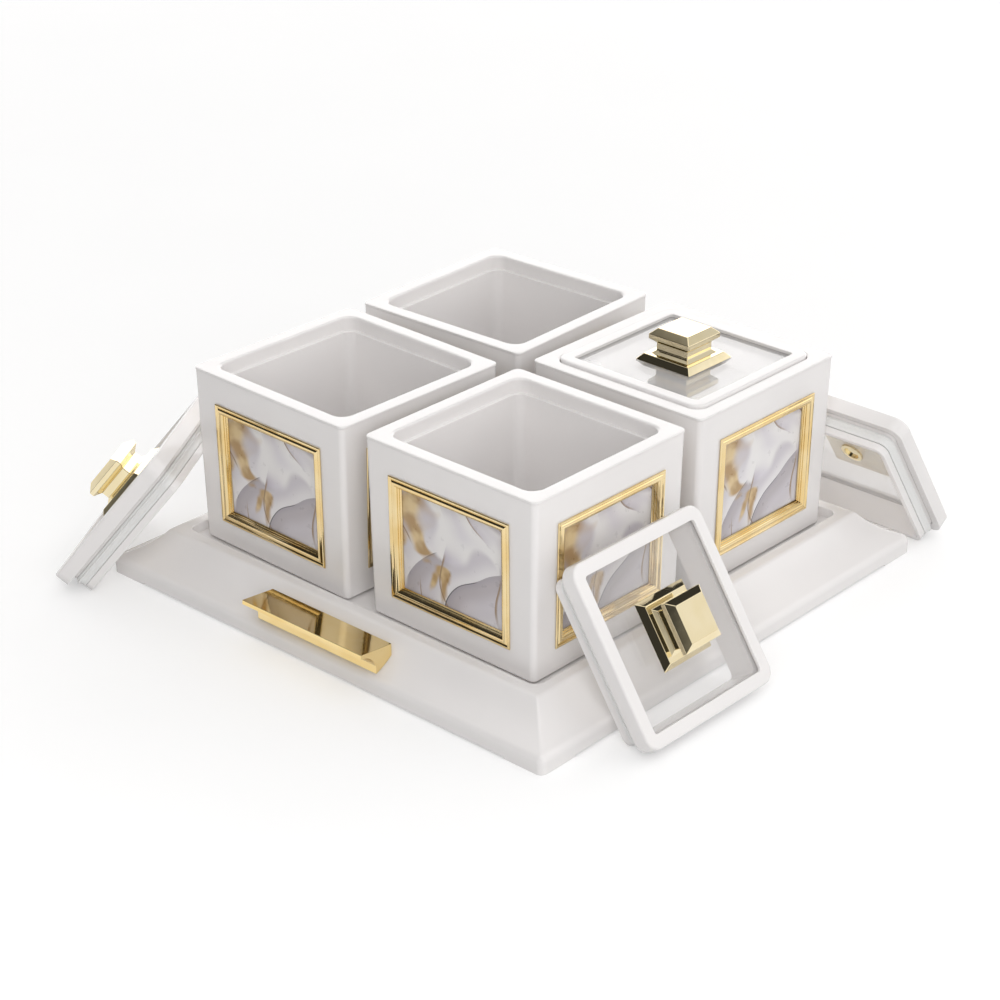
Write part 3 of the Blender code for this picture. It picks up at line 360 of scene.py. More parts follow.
def loft(name, rings, looped=False):
    """A skin through rings of equal length: a tube bent back on itself, or a solid with both ends capped."""
    bm = bmesh.new()
    rows = [[bm.verts.new(point) for point in row] for row in rings]
    pairs = list(zip(rows, rows[1:]))
    if looped:
        pairs.append((rows[-1], rows[0]))
    else:
        bm.faces.new(rows[0])
        bm.faces.new(rows[-1])
    for lower, upper in pairs:
        for index in range(len(lower)):
            following = (index + 1) % len(lower)
            bm.faces.new((lower[index], lower[following], upper[following], upper[index]))
    return finish_mesh(name, bm)


def square_loft(name, rows, looped=False, steps=CORNER_STEPS):
    """A loft of square rings along an eased profile."""
    return loft(name, [square(p.x, p.y, p.z, steps) for p in eased(rows, looped)], looped)


def extrusion(name, outline, length, matrix):
    """A closed outline, extruded equally to both sides of its plane and placed by a matrix."""
    ends = (-length / 2, length / 2)
    return loft(name, [[matrix @ Vector((x, y, end)) for x, y in outline] for end in ends])


def block(name, half_x, half_y, low, high):
    """An upright block round the Z axis, between two heights."""
    outline = ((-half_x, -half_y), (half_x, -half_y), (half_x, half_y), (-half_x, half_y))
    return loft(name, [[Vector((x, y, height)) for x, y in outline] for height in (low, high)])


def rod(name, radius, height):
    """An upright cylinder that stands on the origin."""
    return loft(name, [square(radius, radius, level) for level in (0, height)])


def placed(mesh, matrix):
    """A copy of a mesh, moved."""
    copy = mesh.copy()
    copy.transform(matrix)
    return copy


def add_object(name, data):
    """An object with a mesh, lamp or camera, linked to the scene."""
    made = bpy.data.objects.new(name, data)
    bpy.context.scene.collection.objects.link(made)
    return made


def boolean(target, tools, operation):
    """The target mesh with each tool mesh cut from it or joined to it, one after the other."""
    base = add_object("work", target)
    helpers = []
    for tool in tools:
        helper = add_object("tool", tool)
        modifier = base.modifiers.new(operation.lower(), "BOOLEAN")
        modifier.operation = operation
        modifier.solver = "EXACT"
        modifier.object = helper
        helpers.append(helper)
    evaluated = base.evaluated_get(bpy.context.evaluated_depsgraph_get())
    result = bpy.data.meshes.new_from_object(evaluated)
    for helper in helpers + [base]:
        bpy.data.objects.remove(helper)
    return result


# Places, read from the frame
def middle(node):
    """The middle of a CAD node's box."""
    low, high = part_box(node)
    return (low + high) / 2


def canister_matrix(place):
    """A canister's frame: the middle of its foot, X towards its right picture and Z up."""
    across = middle(f"canister_{place}_picture_frame_right") - middle(f"canister_{place}_picture_frame_left")
    centre = middle(f"canister_{place}_outer_shell")
    foot = Vector((centre.x, centre.y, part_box(f"canister_{place}_outer_shell")[0].z))
    return Matrix.Translation(foot) @ Matrix.Rotation(math.atan2(across.y, across.x), 4, "Z")


def lid_matrix(lid):
    """A lid's frame: the middle of its pane's upper face, Z along the knob and X level."""
    normal = next(Vector(joint["axis"]) for joint in frame["joints"] if joint["child"] == lid).normalized()
    level = Vector((0, 0, 1)).cross(normal)
    if level.length < NO_LENGTH:
        level = canister_matrix("back_right").to_3x3() @ Vector((1, 0, 0))
    level.normalize()
    upward = normal.cross(level)
    points = [vertex.co for vertex in frame["nodes"][f"{lid}_window"].data.vertices]
    origin = normal * max(point.dot(normal) for point in points)
    for axis in (level, upward):
        along = [point.dot(axis) for point in points]
        origin += axis * (min(along) + max(along)) / 2
    return Matrix.Translation(origin) @ Matrix((level, upward, normal)).transposed().to_4x4()


# Tray
def shoulder_and_cove():
    """The cove's arc in the tray's section: centre, radius and the slopes of its outer and inner end."""
    arc_centre = TRAY_HALF - SHOULDER_RADIUS
    outer_x = arc_centre + SHOULDER_RADIUS * math.cos(SHOULDER_TURN)
    outer_z = RIM_HEIGHT + SHOULDER_RADIUS * math.sin(SHOULDER_TURN)
    outer_slope = math.pi / 2 - SHOULDER_TURN
    run = outer_x - COVE_TOP_HALF
    rise = COVE_TOP_HEIGHT - outer_z
    inner_slope = 2 * math.atan2(rise, run) - outer_slope
    radius = run / (math.sin(inner_slope) - math.sin(outer_slope))
    centre = (outer_x + radius * math.sin(outer_slope), outer_z + radius * math.cos(outer_slope))
    return centre, radius, outer_slope, inner_slope


def cove_height(across):
    """Height of the cove's surface at a distance from the tray's middle."""
    centre, radius, _, _ = shoulder_and_cove()
    return centre[1] - math.sqrt(radius ** 2 - (centre[0] - across) ** 2)


def tray_section():
    """Half of the tray's upper surface as points across and up, from the rim's foot to the ridge."""
    centre, radius, outer_slope, inner_slope = shoulder_and_cove()
    points = [(TRAY_HALF, 0)]
    points += arc(TRAY_HALF - SHOULDER_RADIUS, RIM_HEIGHT, SHOULDER_RADIUS, 0, SHOULDER_TURN, SHOULDER_STEPS)
    points += arc(*centre, radius, -math.pi / 2 - outer_slope, -math.pi / 2 - inner_slope, COVE_STEPS)[1:]
    ridge_radius = (RIDGE_HEIGHT - COVE_TOP_HEIGHT) / (1 - math.cos(inner_slope))
    ridge_start = COVE_TOP_HALF - ridge_radius * math.sin(inner_slope)
    ridge_turn = (math.pi / 2 - inner_slope, math.pi / 2)
    points += arc(ridge_start, RIDGE_HEIGHT - ridge_radius, ridge_radius, *ridge_turn, RIDGE_STEPS)[1:]
    return points


def recess_section():
    """The recess's edge and wall: across and up, from the ridge to the floor."""
    edge, foot = RECESS_EDGE_ROUND, RECESS_FOOT_ROUND
    points = arc(RECESS_HALF + edge, RIDGE_HEIGHT - edge, edge, math.pi / 2, math.pi, EASE_STEPS)
    return points + arc(RECESS_HALF - foot, TRAY_FLOOR_HEIGHT + foot, foot, 0, -math.pi / 2, EASE_STEPS)


def under_section():
    """The tray's lower surface, from the rim's foot to the underside of the recess floor."""
    section = tray_section() + [(RECESS_HALF, RIDGE_HEIGHT)]
    moved = [(TRAY_HALF - TRAY_WALL, 0)]
    for before, here, after in zip(section, section[1:], section[2:]):
        run = Vector(after) - Vector(before)
        normal = Vector((-run.y, run.x)).normalized()
        moved.append((here[0] + normal.x * TRAY_WALL, here[1] + normal.y * TRAY_WALL))
    back = RECESS_HALF + TRAY_WALL
    moved = [point for point in moved if point[0] > back]
    return moved + [(back, RIDGE_HEIGHT - TRAY_WALL), (back, TRAY_FLOOR_HEIGHT - TRAY_WALL)]


def tray_corner(across):
    """Corner radius of the tray's plan at a distance from its middle."""
    return max(HIP_RADIUS, TRAY_CORNER_RADIUS - (TRAY_HALF - across))


def tray_rib():
    """The outline of a rib that fills the tray's underside from rim to rim."""
    lower = [point for point in under_section() if point[1] >= RIB_CLEARANCE]
    side = [(TRAY_HALF - TRAY_WALL + JOIN_SINK, RIB_CLEARANCE)]
    side += [(across, up + JOIN_SINK) for across, up in lower[:-2]]
    side += [(RECESS_HALF + TRAY_WALL - JOIN_SINK, up + JOIN_SINK) for _, up in lower[-2:]]
    return side + [(-across, up) for across, up in reversed(side)]


def screw_block(side, place):
    """A block under the cove that a handle screw bears on."""
    ends = (SCREW_LINE - SCREW_BLOCK_DEPTH / 2, SCREW_LINE + SCREW_BLOCK_DEPTH / 2)
    outline = [(side * across, SCREW_BLOCK_HEIGHT) for across in ends]
    outline += [(side * across, cove_height(across) - TRAY_WALL / 2) for across in reversed(ends)]
    shift = Matrix.Translation((place * SCREW_REACH, 0, 0))
    return extrusion("screw_block", outline, SCREW_BLOCK_WIDTH, shift @ ALONG_X)


def handle_screw_tip():
    """Height of a handle screw's tip, which bites into the handle above the cove."""
    return cove_height(SCREW_LINE) + SCREW_BITE


def handle_holes():
    """Upright cutters on the four handle screws' axes."""
    cutter = rod("hole", SCREW_RADIUS + SEAT_GAP, handle_screw_tip() + SEAT_GAP)
    shifts = [(place * SCREW_REACH, side * SCREW_LINE, 0) for side in (-1, 1) for place in (-1, 1)]
    return [placed(cutter, Matrix.Translation(shift)) for shift in shifts]


def make_tray():
    """The moulded tray: outer skin, inner skin, ribs, screw blocks, centre foot and relieved rim."""
    rings = [square(across, tray_corner(across), up) for across, up in tray_section()]
    for across, up in recess_section():
        rings.append(square(across, RECESS_CORNER_RADIUS + across - RECESS_HALF, up))
    rings.reverse()
    rings += [square(across, tray_corner(across), up) for across, up in under_section()]
    mesh = loft("tray", rings)
    halves = (TRAY_HALF - FOOT_LENGTH, TRAY_HALF + CUT_OVERRUN)
    reliefs = [block("relief", *sides, -CUT_OVERRUN, RIM_RELIEF) for sides in (halves, halves[::-1])]
    mesh = boolean(mesh, reliefs, "DIFFERENCE")
    additions = []
    outline = tray_rib()
    for upright, step in ((ALONG_Y, Vector((0, RIB_SPACING, 0))), (ALONG_X, Vector((RIB_SPACING, 0, 0)))):
        for row in (-1, 0, 1):
            shift = Matrix.Translation(step * row)
            additions.append(extrusion("rib", outline, RIB_THICKNESS, shift @ upright))
    additions.append(rod("centre_foot", CENTRE_FOOT_RADIUS, TRAY_FLOOR_HEIGHT - TRAY_WALL + JOIN_SINK))
    additions += [screw_block(side, place) for side in (-1, 1) for place in (-1, 1)]
    mesh = boolean(mesh, additions, "UNION")
    return boolean(mesh, handle_holes(), "DIFFERENCE")


# Handles and screws
def make_handle():
    """The handle's section, extruded: sloping top, thin lip, hollow grip and a foot on the cove."""
    lip_underside = HANDLE_LIP_HEIGHT - HANDLE_LIP_THICKNESS
    grip_radius = lip_underside - cove_height(GRIP_FOOT) - SEAT_GAP - GRIP_FOOT_RISE
    grip_centre = (GRIP_FOOT + grip_radius, lip_underside - grip_radius)
    outline = [
        (HANDLE_BACK, COVE_TOP_HEIGHT - HANDLE_BACK_DROP),
        (GRIP_FOOT + grip_radius - HANDLE_LIP_SLANT, HANDLE_LIP_HEIGHT),
    ]
    outline += arc(*grip_centre, grip_radius, math.pi / 2, math.pi, GRIP_STEPS)
    for step in range(GRIP_STEPS + 1):
        across = GRIP_FOOT + (HANDLE_BACK - GRIP_FOOT) * step / GRIP_STEPS
        outline.append((across, cove_height(across) + SEAT_GAP))
    outline = [(-across, up) for across, up in outline]
    mesh = extrusion("handle", outline, HANDLE_LENGTH, ALONG_X)
    return boolean(mesh, handle_holes()[:2], "DIFFERENCE")


def make_handle_screw():
    """A handle screw on its own axis, at its height under the tray, with a cross recess in its head."""
    seat = SCREW_BLOCK_HEIGHT - SEAT_GAP
    head = seat - SCREW_HEAD_HEIGHT
    profile = (
        (SCREW_HEAD_RADIUS - SCREW_HEAD_ROUND, head),
        (SCREW_HEAD_RADIUS, head + SCREW_HEAD_ROUND),
        (SCREW_HEAD_RADIUS, seat),
        (SCREW_RADIUS, seat),
        (SCREW_RADIUS, handle_screw_tip() - SCREW_TIP),
        (SCREW_RADIUS - SCREW_TIP, handle_screw_tip()),
    )
    mesh = loft("handle_screw", [square(size, size, height) for size, height in profile])
    halves = (CROSS_LENGTH / 2, CROSS_WIDTH / 2)
    heights = (head - CUT_OVERRUN, head + CROSS_DEPTH)
    cross = [block("cross", *sides, *heights) for sides in (halves, halves[::-1])]
    return boolean(mesh, cross, "DIFFERENCE")


# Canisters
def shell_half(height):
    """Half of the canister's outer width at a height above its foot: the walls widen upwards."""
    share = (height - SHELL_BOTTOM) / (SHELL_TOP - SHELL_BOTTOM)
    return (CANISTER_BASE_WIDTH + CANISTER_TAPER * share) / 2


def side_matrix(heading):
    """Frame of one canister side at the picture's middle: X along the wall, Y up it and Z out of it."""
    centre = Matrix.Translation((shell_half(PICTURE_LIFT), 0, PICTURE_LIFT))
    upright = Matrix(((0, 0, 1), (1, 0, 0), (0, 1, 0))).to_4x4()
    lean = Matrix.Rotation(WALL_TILT, 4, "Y")
    return Matrix.Rotation(heading, 4, "Z") @ centre @ lean @ upright


def make_shell():
    """The canister's outer shell: square walls, floor and foot ring, with a window for each picture."""
    corner = CANISTER_CORNER_RADIUS
    base_half = shell_half(SHELL_BOTTOM)
    foot_outer = base_half - FOOT_RING_INSET
    foot_inner = foot_outer - FOOT_RING_WIDTH
    top_inner = shell_half(SHELL_TOP) - SHELL_WALL
    floor_top = SHELL_BOTTOM + SHELL_FLOOR
    mesh = square_loft("outer_shell", (
        (foot_inner, corner, SHELL_BOTTOM, 0),
        (foot_inner, corner, 0, FOOT_RING_ROUND),
        (foot_outer, corner, 0, FOOT_RING_ROUND),
        (foot_outer, corner, SHELL_BOTTOM, 0),
        (base_half, corner, SHELL_BOTTOM, SHELL_EDGE_ROUND),
        (shell_half(SHELL_TOP), corner, SHELL_TOP, 0),
        (top_inner, corner - SHELL_WALL, SHELL_TOP, 0),
        (shell_half(floor_top) - SHELL_WALL, corner - SHELL_WALL, floor_top, 0),
    ))
    half_x = PICTURE_WIDTH / 2 - FLANGE_LAP + SEAT_GAP
    half_y = PICTURE_HEIGHT / 2 - FLANGE_LAP + SEAT_GAP
    window = block("picture_window", half_x, half_y, -SHELL_WALL - CUT_OVERRUN, CUT_OVERRUN)
    windows = [placed(window, side_matrix(heading)) for heading in SIDE_HEADINGS.values()]
    return boolean(mesh, windows, "DIFFERENCE")


def make_sleeve():
    """The thin printed sleeve inside the shell. Its UVs run along each side and up it, in picture heights."""
    low = SHELL_BOTTOM + SHELL_FLOOR + SEAT_GAP
    high = CANISTER_HEIGHT - LOCATING_RIB_DEPTH - SEAT_GAP
    radius = CANISTER_CORNER_RADIUS - SHELL_WALL - SEAT_GAP
    rings = []
    for inset, height in ((0, low), (0, high), (SLEEVE_THICKNESS, high), (SLEEVE_THICKNESS, low)):
        half = shell_half(height) - SHELL_WALL - SEAT_GAP - inset
        rings.append(square(half, max(radius - inset, SEAT_GAP), height, SMALL_CORNER_STEPS))
    mesh = loft("printed_sleeve", rings, looped=True)
    layer = mesh.uv_layers.new(name="print")
    for face in mesh.polygons:
        along_x = abs(face.normal.y) > abs(face.normal.x)
        forward = -face.normal.y if along_x else face.normal.x
        for loop in face.loop_indices:
            point = mesh.vertices[mesh.loops[loop].vertex_index].co
            along = math.copysign(1, forward) * (point.x if along_x else point.y)
            layer.data[loop].uv = (along / PICTURE_HEIGHT, (point.z - PICTURE_LIFT) / PICTURE_HEIGHT)
    return mesh


def make_tub():
    """The inner tub: rim plate, locating rib, stepped mouth with the lid's ledge, walls and round floor."""
    top = CANISTER_HEIGHT
    rim_half = CANISTER_TOP_WIDTH / 2 + RIM_OVERHANG
    rib_half = shell_half(SHELL_TOP) - SHELL_WALL - SEAT_GAP
    rib_draft = (LOCATING_RIB_DEPTH - RIM_PLATE) * math.tan(WALL_TILT)
    rib_inner = rib_half - LOCATING_RIB_WALL - rib_draft
    rib_radius = max(CANISTER_CORNER_RADIUS - SHELL_WALL - SEAT_GAP, SEAT_GAP)
    mouth_outer = MOUTH_HALF + BOWL_WALL
    outer_radius = BOWL_CORNER_RADIUS + BOWL_WALL
    profile = [
        (BOWL_FLOOR_HALF - BOWL_FLOOR_ROUND, BOWL_CORNER_RADIUS, BOWL_FLOOR_BOTTOM, 0),
        (BOWL_FLOOR_HALF + BOWL_WALL, outer_radius, BOWL_FLOOR_BOTTOM, BOWL_FLOOR_ROUND),
        (BOWL_TOP_HALF + BOWL_WALL, outer_radius, LEDGE_HEIGHT - BOWL_WALL, 0),
        (mouth_outer, MOUTH_CORNER_RADIUS + BOWL_WALL, LEDGE_HEIGHT - BOWL_WALL, LEDGE_EDGE_ROUND),
        (mouth_outer, MOUTH_CORNER_RADIUS + BOWL_WALL, top - DECK_THICKNESS, 0),
        (rib_inner, CANISTER_CORNER_RADIUS, top - DECK_THICKNESS, 0),
        (rib_inner, CANISTER_CORNER_RADIUS, top - LOCATING_RIB_DEPTH, 0),
        (rib_half - rib_draft, rib_radius, top - LOCATING_RIB_DEPTH, 0),
        (rib_half, rib_radius, top - RIM_PLATE, 0),
        (rim_half, RIM_CORNER_RADIUS, top - RIM_PLATE, 0),
        (rim_half, RIM_CORNER_RADIUS, top, RIM_EDGE_ROUND),
        (MOUTH_HALF, MOUTH_CORNER_RADIUS, top, MOUTH_EDGE_ROUND),
        (MOUTH_HALF, MOUTH_CORNER_RADIUS, LEDGE_HEIGHT, 0),
        (BOWL_TOP_HALF, BOWL_CORNER_RADIUS, LEDGE_HEIGHT, LEDGE_EDGE_ROUND),
    ]
    below_ledge = (BOWL_FLOOR_HALF, BOWL_CORNER_RADIUS, 0, 0)
    points = eased(profile[:-1]) + eased([*profile[-2:], below_ledge])[1:-1]
    rings = [square(point.x, point.y, point.z) for point in points]
    fillet_centre = (BOWL_FLOOR_HALF - BOWL_FLOOR_ROUND, BOWL_FLOOR_TOP + BOWL_FLOOR_ROUND)
    for half, height in arc(*fillet_centre, BOWL_FLOOR_ROUND, 0, -math.pi / 2, CORNER_STEPS):
        rings.append(square(half, BOWL_CORNER_RADIUS - (BOWL_FLOOR_HALF - half), height))
    return loft("inner_tub", rings)


def make_picture_frame():
    """A mitred moulding set in the shell's window: flange, outer band, groove, round bead and inner bevel."""
    bead_start = EDGE_BAND + GROOVE_RISE
    crown = (MOULDING_WIDTH - EDGE_BAND - GROOVE_RISE) * BEAD_SHARE
    edge = MOULDING_EDGE_ROUND
    profile = [
        (FLANGE_LAP, -SHELL_WALL),
        (FLANGE_LAP, SEAT_GAP),
        (0, SEAT_GAP),
        (0, MOULDING_RISE - edge),
        (edge, MOULDING_RISE),
        (EDGE_BAND - edge, MOULDING_RISE),
        (EDGE_BAND, MOULDING_RISE - edge),
        (bead_start, GROOVE_RISE),
    ]
    for step in range(1, BEAD_STEPS):
        share = step / BEAD_STEPS
        rise = GROOVE_RISE + (BEAD_RISE - GROOVE_RISE) * math.sin(math.pi * share)
        profile.append((bead_start + crown * share, rise))
    bevel_start = Vector((bead_start + crown, GROOVE_RISE))
    bevel = Vector((MOULDING_WIDTH, SEAT_GAP - SHELL_WALL)) - bevel_start
    inward = Vector((bevel.y, -bevel.x)).normalized() * BEVEL_LINE_DEPTH
    profile.append(tuple(bevel_start))
    for line in BEVEL_LINES:
        for share, depth in ((line - BEVEL_LINE_WIDTH / 2, 0), (line, 1), (line + BEVEL_LINE_WIDTH / 2, 0)):
            profile.append(tuple(bevel_start + bevel * share + inward * depth))
    profile += [(MOULDING_WIDTH, SEAT_GAP - SHELL_WALL), (MOULDING_WIDTH, -SHELL_WALL)]
    half_x, half_y = PICTURE_WIDTH / 2, PICTURE_HEIGHT / 2
    rings = [ring(half_x - inset, half_y - inset, 0, height, 0) for inset, height in profile]
    return loft("picture_frame", rings, looped=True)


# Lids, drawn with the middle of the pane's upper face as the origin and the knob along +Z
def make_lid_frame():
    """The lid's frame: round upper edge, window opening and a rebate that takes the pane and plug."""
    radius = MOUTH_CORNER_RADIUS - SEAT_GAP
    rebate_radius = PLUG_CORNER_RADIUS + SEAT_GAP
    return square_loft("lid_frame", (
        (LID_HALF, radius, LID_FRAME_BOTTOM, LID_FOOT_ROUND),
        (LID_HALF, radius, WINDOW_RECESS, LID_EDGE_ROUND),
        (WINDOW_HALF, WINDOW_CORNER_RADIUS, WINDOW_RECESS, WINDOW_EDGE_BEVEL),
        (WINDOW_HALF, WINDOW_CORNER_RADIUS, SEAT_GAP, 0),
        (REBATE_HALF, rebate_radius, SEAT_GAP, 0),
        (REBATE_HALF, rebate_radius, LID_FRAME_BOTTOM, LID_FOOT_ROUND),
    ), looped=True)


def make_window():
    """The clear pane, with a hole in its middle for the knob's boss."""
    hole = KNOB_BOSS_RADIUS + SEAT_GAP
    return square_loft("lid_window", (
        (PLUG_HALF, PLUG_CORNER_RADIUS, 0, PANE_EDGE_ROUND),
        (PLUG_HALF, PLUG_CORNER_RADIUS, -PANE_THICKNESS, PANE_EDGE_ROUND),
        (hole, hole, -PANE_THICKNESS, 0),
        (hole, hole, 0, 0),
    ), looped=True)


def plug_loft(name, profile):
    """The plug's or the gasket's skin along a profile of half width, height and easing."""
    rows = [(half, PLUG_CORNER_RADIUS - (PLUG_HALF - half), height, ease) for half, height, ease in profile]
    return square_loft(name, rows, looped=True)


def make_plug_ring():
    """The ring below the pane that centres the lid, with a groove round it for the gasket."""
    groove = PLUG_HALF - GASKET_GROOVE_DEPTH
    return plug_loft("lid_plug_ring", (
        (PLUG_HALF, -PANE_THICKNESS - SEAT_GAP, 0),
        (PLUG_HALF, -GASKET_GROOVE_TOP, 0),
        (groove, -GASKET_GROOVE_TOP, 0),
        (groove, -GASKET_GROOVE_BOTTOM, 0),
        (PLUG_HALF, -GASKET_GROOVE_BOTTOM, 0),
        (PLUG_HALF, -PLUG_LENGTH, PLUG_TIP_ROUND),
        (PLUG_INNER_HALF, -PLUG_LENGTH, PLUG_TIP_ROUND),
        (PLUG_INNER_HALF, -PANE_THICKNESS - SEAT_GAP, 0),
    ))


def make_gasket():
    """The soft seal in the plug ring's groove, with a round-tipped fin that reaches for the tub's walls."""
    inner = PLUG_HALF - GASKET_GROOVE_DEPTH + SEAT_GAP
    back = inner + GASKET_BACK
    tip = back + FIN_REACH
    top = -GASKET_GROOVE_TOP - SEAT_GAP
    bottom = -GASKET_GROOVE_BOTTOM + SEAT_GAP
    ease = GASKET_EDGE_ROUND
    return plug_loft("lid_gasket", (
        (inner, top, 0),
        (back, top, ease),
        (back, top - FIN_NOTCH, ease),
        (tip - FIN_ROUND, top - FIN_DROP + FIN_ROUND, FIN_ROUND / 2),
        (tip, top - FIN_DROP, FIN_ROUND / 2),
        (tip - FIN_ROUND, top - FIN_DROP - FIN_ROUND, FIN_ROUND / 2),
        (back, top - FIN_ROOT, FIN_ROUND),
        (back, bottom, ease),
        (inner, bottom, 0),
    ))


def make_knob():
    """The square knob: stepped base, waisted neck, bevelled head and a cored boss that passes the pane."""
    hollow_half = KNOB_BASE_WIDTH / 2 - KNOB_HOLLOW_WALL
    cap_half = KNOB_TOP_WIDTH / 4
    corner, ease = KNOB_EDGE_RADIUS, KNOB_EDGE_EASE
    outer = (
        (KNOB_BASE_WIDTH, SEAT_GAP),
        (KNOB_STEP_WIDTH, KNOB_STEP_HEIGHT),
        (KNOB_COLLAR_WIDTH, KNOB_STEP_HEIGHT),
        (KNOB_NECK_WIDTH, KNOB_COLLAR_HEIGHT),
        (KNOB_NECK_WIDTH, KNOB_NECK_HEIGHT),
        (KNOB_HEAD_WIDTH, KNOB_FLARE_HEIGHT),
        (KNOB_HEAD_WIDTH, KNOB_BAND_HEIGHT),
        (KNOB_TOP_WIDTH, KNOB_HEIGHT),
    )
    return square_loft("knob", (
        (KNOB_CORE_RADIUS, KNOB_CORE_RADIUS, KNOB_CORE_FLOOR, ease),
        (KNOB_CORE_RADIUS, KNOB_CORE_RADIUS, -KNOB_BOSS_DROP, ease),
        (KNOB_BOSS_RADIUS, KNOB_BOSS_RADIUS, -KNOB_BOSS_DROP, ease),
        (KNOB_BOSS_RADIUS, KNOB_BOSS_RADIUS, KNOB_HOLLOW_DEPTH, 0),
        (hollow_half - KNOB_HOLLOW_DEPTH, corner, KNOB_HOLLOW_DEPTH, 0),
        (hollow_half, corner, SEAT_GAP, 0),
        *((width / 2, corner, height, ease) for width, height in outer),
        (cap_half, corner, KNOB_HEIGHT, 0),
    ), steps=SMALL_CORNER_STEPS)


# Golds: colour, the deeper tone in places, and the roughness of the smoothest and of the dullest places
GOLDS = {
    "moulding_gold": ((0.84, 0.68, 0.39), (0.79, 0.59, 0.28), 0.10, 0.18),
    "handle_gold": ((0.95, 0.75, 0.38), (0.91, 0.69, 0.31), 0.06, 0.13),
    "knob_gold": ((0.88, 0.77, 0.52), (0.85, 0.73, 0.46), 0.03, 0.08),
}

# The print's colours. A veil's run across it from the edge where it starts.
WIDE_VEIL = (
    (0.00, (0.43, 0.40, 0.435)),
    (0.22, (0.50, 0.465, 0.49)),
    (0.55, (0.63, 0.60, 0.64)),
    (1.00, (0.83, 0.81, 0.82)),
)
THIN_VEIL = (
    (0.00, (0.55, 0.51, 0.58)),
    (0.35, (0.70, 0.67, 0.72)),
    (1.00, (0.87, 0.855, 0.85)),
)
PRINT_GROUND = (0.86, 0.845, 0.84)
OCHRES = ((0.44, 0.26, 0.08), (0.76, 0.58, 0.29))

# Where the fine line along a veil's edge fades out, as a span of the way across the veil, and its colour
WIDE_LINE = (0.012, 0.034), (0.10, 0.10, 0.11)
THIN_LINE = (0.03, 0.075), (0.33, 0.22, 0.13)

# The part of a noise's range that most of it lies in
NOISE_SPAN = (0.3, 0.7)

# Places of the two colour inputs and the colour output among a Mix node's sockets
MIX_FIRST = 6
MIX_SECOND = 7
MIX_RESULT = 2


# Materials
def feed(tree, node, inputs):
    """Links each of a node's inputs to a socket or sets it to a value."""
    for key, value in inputs.items():
        if isinstance(value, bpy.types.NodeSocket):
            tree.links.new(value, node.inputs[key])
        else:
            node.inputs[key].default_value = value


def add_node(tree, kind, inputs, **settings):
    """A shader node with its settings made and its inputs fed."""
    made = tree.nodes.new(kind)
    for key, value in settings.items():
        setattr(made, key, value)
    feed(tree, made, inputs)
    return made


def calculated(tree, operation, *values):
    """Values brought together by Math nodes, one after the other."""
    result = values[0]
    for value in values[1:]:
        result = add_node(tree, "ShaderNodeMath", {0: result, 1: value}, operation=operation).outputs[0]
    return result


def vector_math(tree, operation, inputs, output="Vector"):
    """What a Vector Math node makes of its inputs."""
    return add_node(tree, "ShaderNodeVectorMath", inputs, operation=operation).outputs[output]


def mapped(tree, value, span, low, high, kind="SMOOTHSTEP"):
    """A value that goes from low to high while another one goes through its span."""
    inputs = {"Value": value, "From Min": span[0], "From Max": span[1], "To Min": low, "To Max": high}
    return add_node(tree, "ShaderNodeMapRange", inputs, interpolation_type=kind).outputs["Result"]


def noise(tree, coords, scale, detail=2.0, roughness=0.5, distortion=0.0, output="Fac"):
    """A noise texture."""
    shape = {"Scale": scale, "Detail": detail, "Roughness": roughness, "Distortion": distortion}
    return add_node(tree, "ShaderNodeTexNoise", {"Vector": coords, **shape}).outputs[output]


def patches(tree, coords, scale, low=0.0, high=1.0, span=NOISE_SPAN, **shape):
    """Soft patches of noise, each somewhere between low and high."""
    return mapped(tree, noise(tree, coords, scale, **shape), span, low, high)


def mixed(tree, factor, first, second):
    """One colour faded into another."""
    inputs = {"Factor": factor}
    for key, colour in ((MIX_FIRST, first), (MIX_SECOND, second)):
        inputs[key] = colour if isinstance(colour, bpy.types.NodeSocket) else (*colour, 1.0)
    return add_node(tree, "ShaderNodeMix", inputs, data_type="RGBA").outputs[MIX_RESULT]


def ramped(tree, value, stops):
    """A value turned into a colour by stops of place and colour, with soft steps between them."""
    ramp = add_node(tree, "ShaderNodeValToRGB", {"Fac": value})
    elements = ramp.color_ramp.elements
    ramp.color_ramp.interpolation = "EASE"
    while len(elements) < len(stops):
        elements.new(0.5)
    for element, (place, colour) in zip(elements, stops):
        element.position = place
        element.color = (*colour, 1.0)
    return ramp.outputs["Color"]


def relief(tree, coords, scale, strength, distance, **shape):
    """The normal of a fine relief of noise."""
    inputs = {"Height": noise(tree, coords, scale, **shape), "Strength": strength, "Distance": distance}
    return add_node(tree, "ShaderNodeBump", inputs).outputs["Normal"]


def new_material(name, colour, roughness, metallic=0.0):
    """A Principled material. Returns it, its node tree, its shader and its object coordinates."""
    material = bpy.data.materials.new(name)
    material.use_nodes = True
    material.diffuse_color = (*colour, 1.0)
    tree = material.node_tree
    shader = tree.nodes["Principled BSDF"]
    feed(tree, shader, {"Base Color": (*colour, 1.0), "Roughness": roughness, "Metallic": metallic})
    coords = add_node(tree, "ShaderNodeTexCoord", {}).outputs["Object"]
    return material, tree, shader, coords


def white_plastic():
    """Glossy moulded plastic, white with a hint of lilac, slightly uneven in tone and gloss."""
    material, tree, shader, coords = new_material("white_plastic", (0.875, 0.855, 0.846), roughness=0.17)
    tone = mixed(tree, patches(tree, coords, scale=22.0), (0.865, 0.843, 0.835), (0.888, 0.866, 0.856))
    wear = patches(tree, coords, scale=140.0, low=0.13, high=0.24, span=(0.3, 0.75), detail=4.0)
    grain = relief(tree, coords, scale=1500.0, strength=0.05, distance=0.00004)
    feed(tree, shader, {"Base Color": tone, "Roughness": wear, "Normal": grain})
    return material


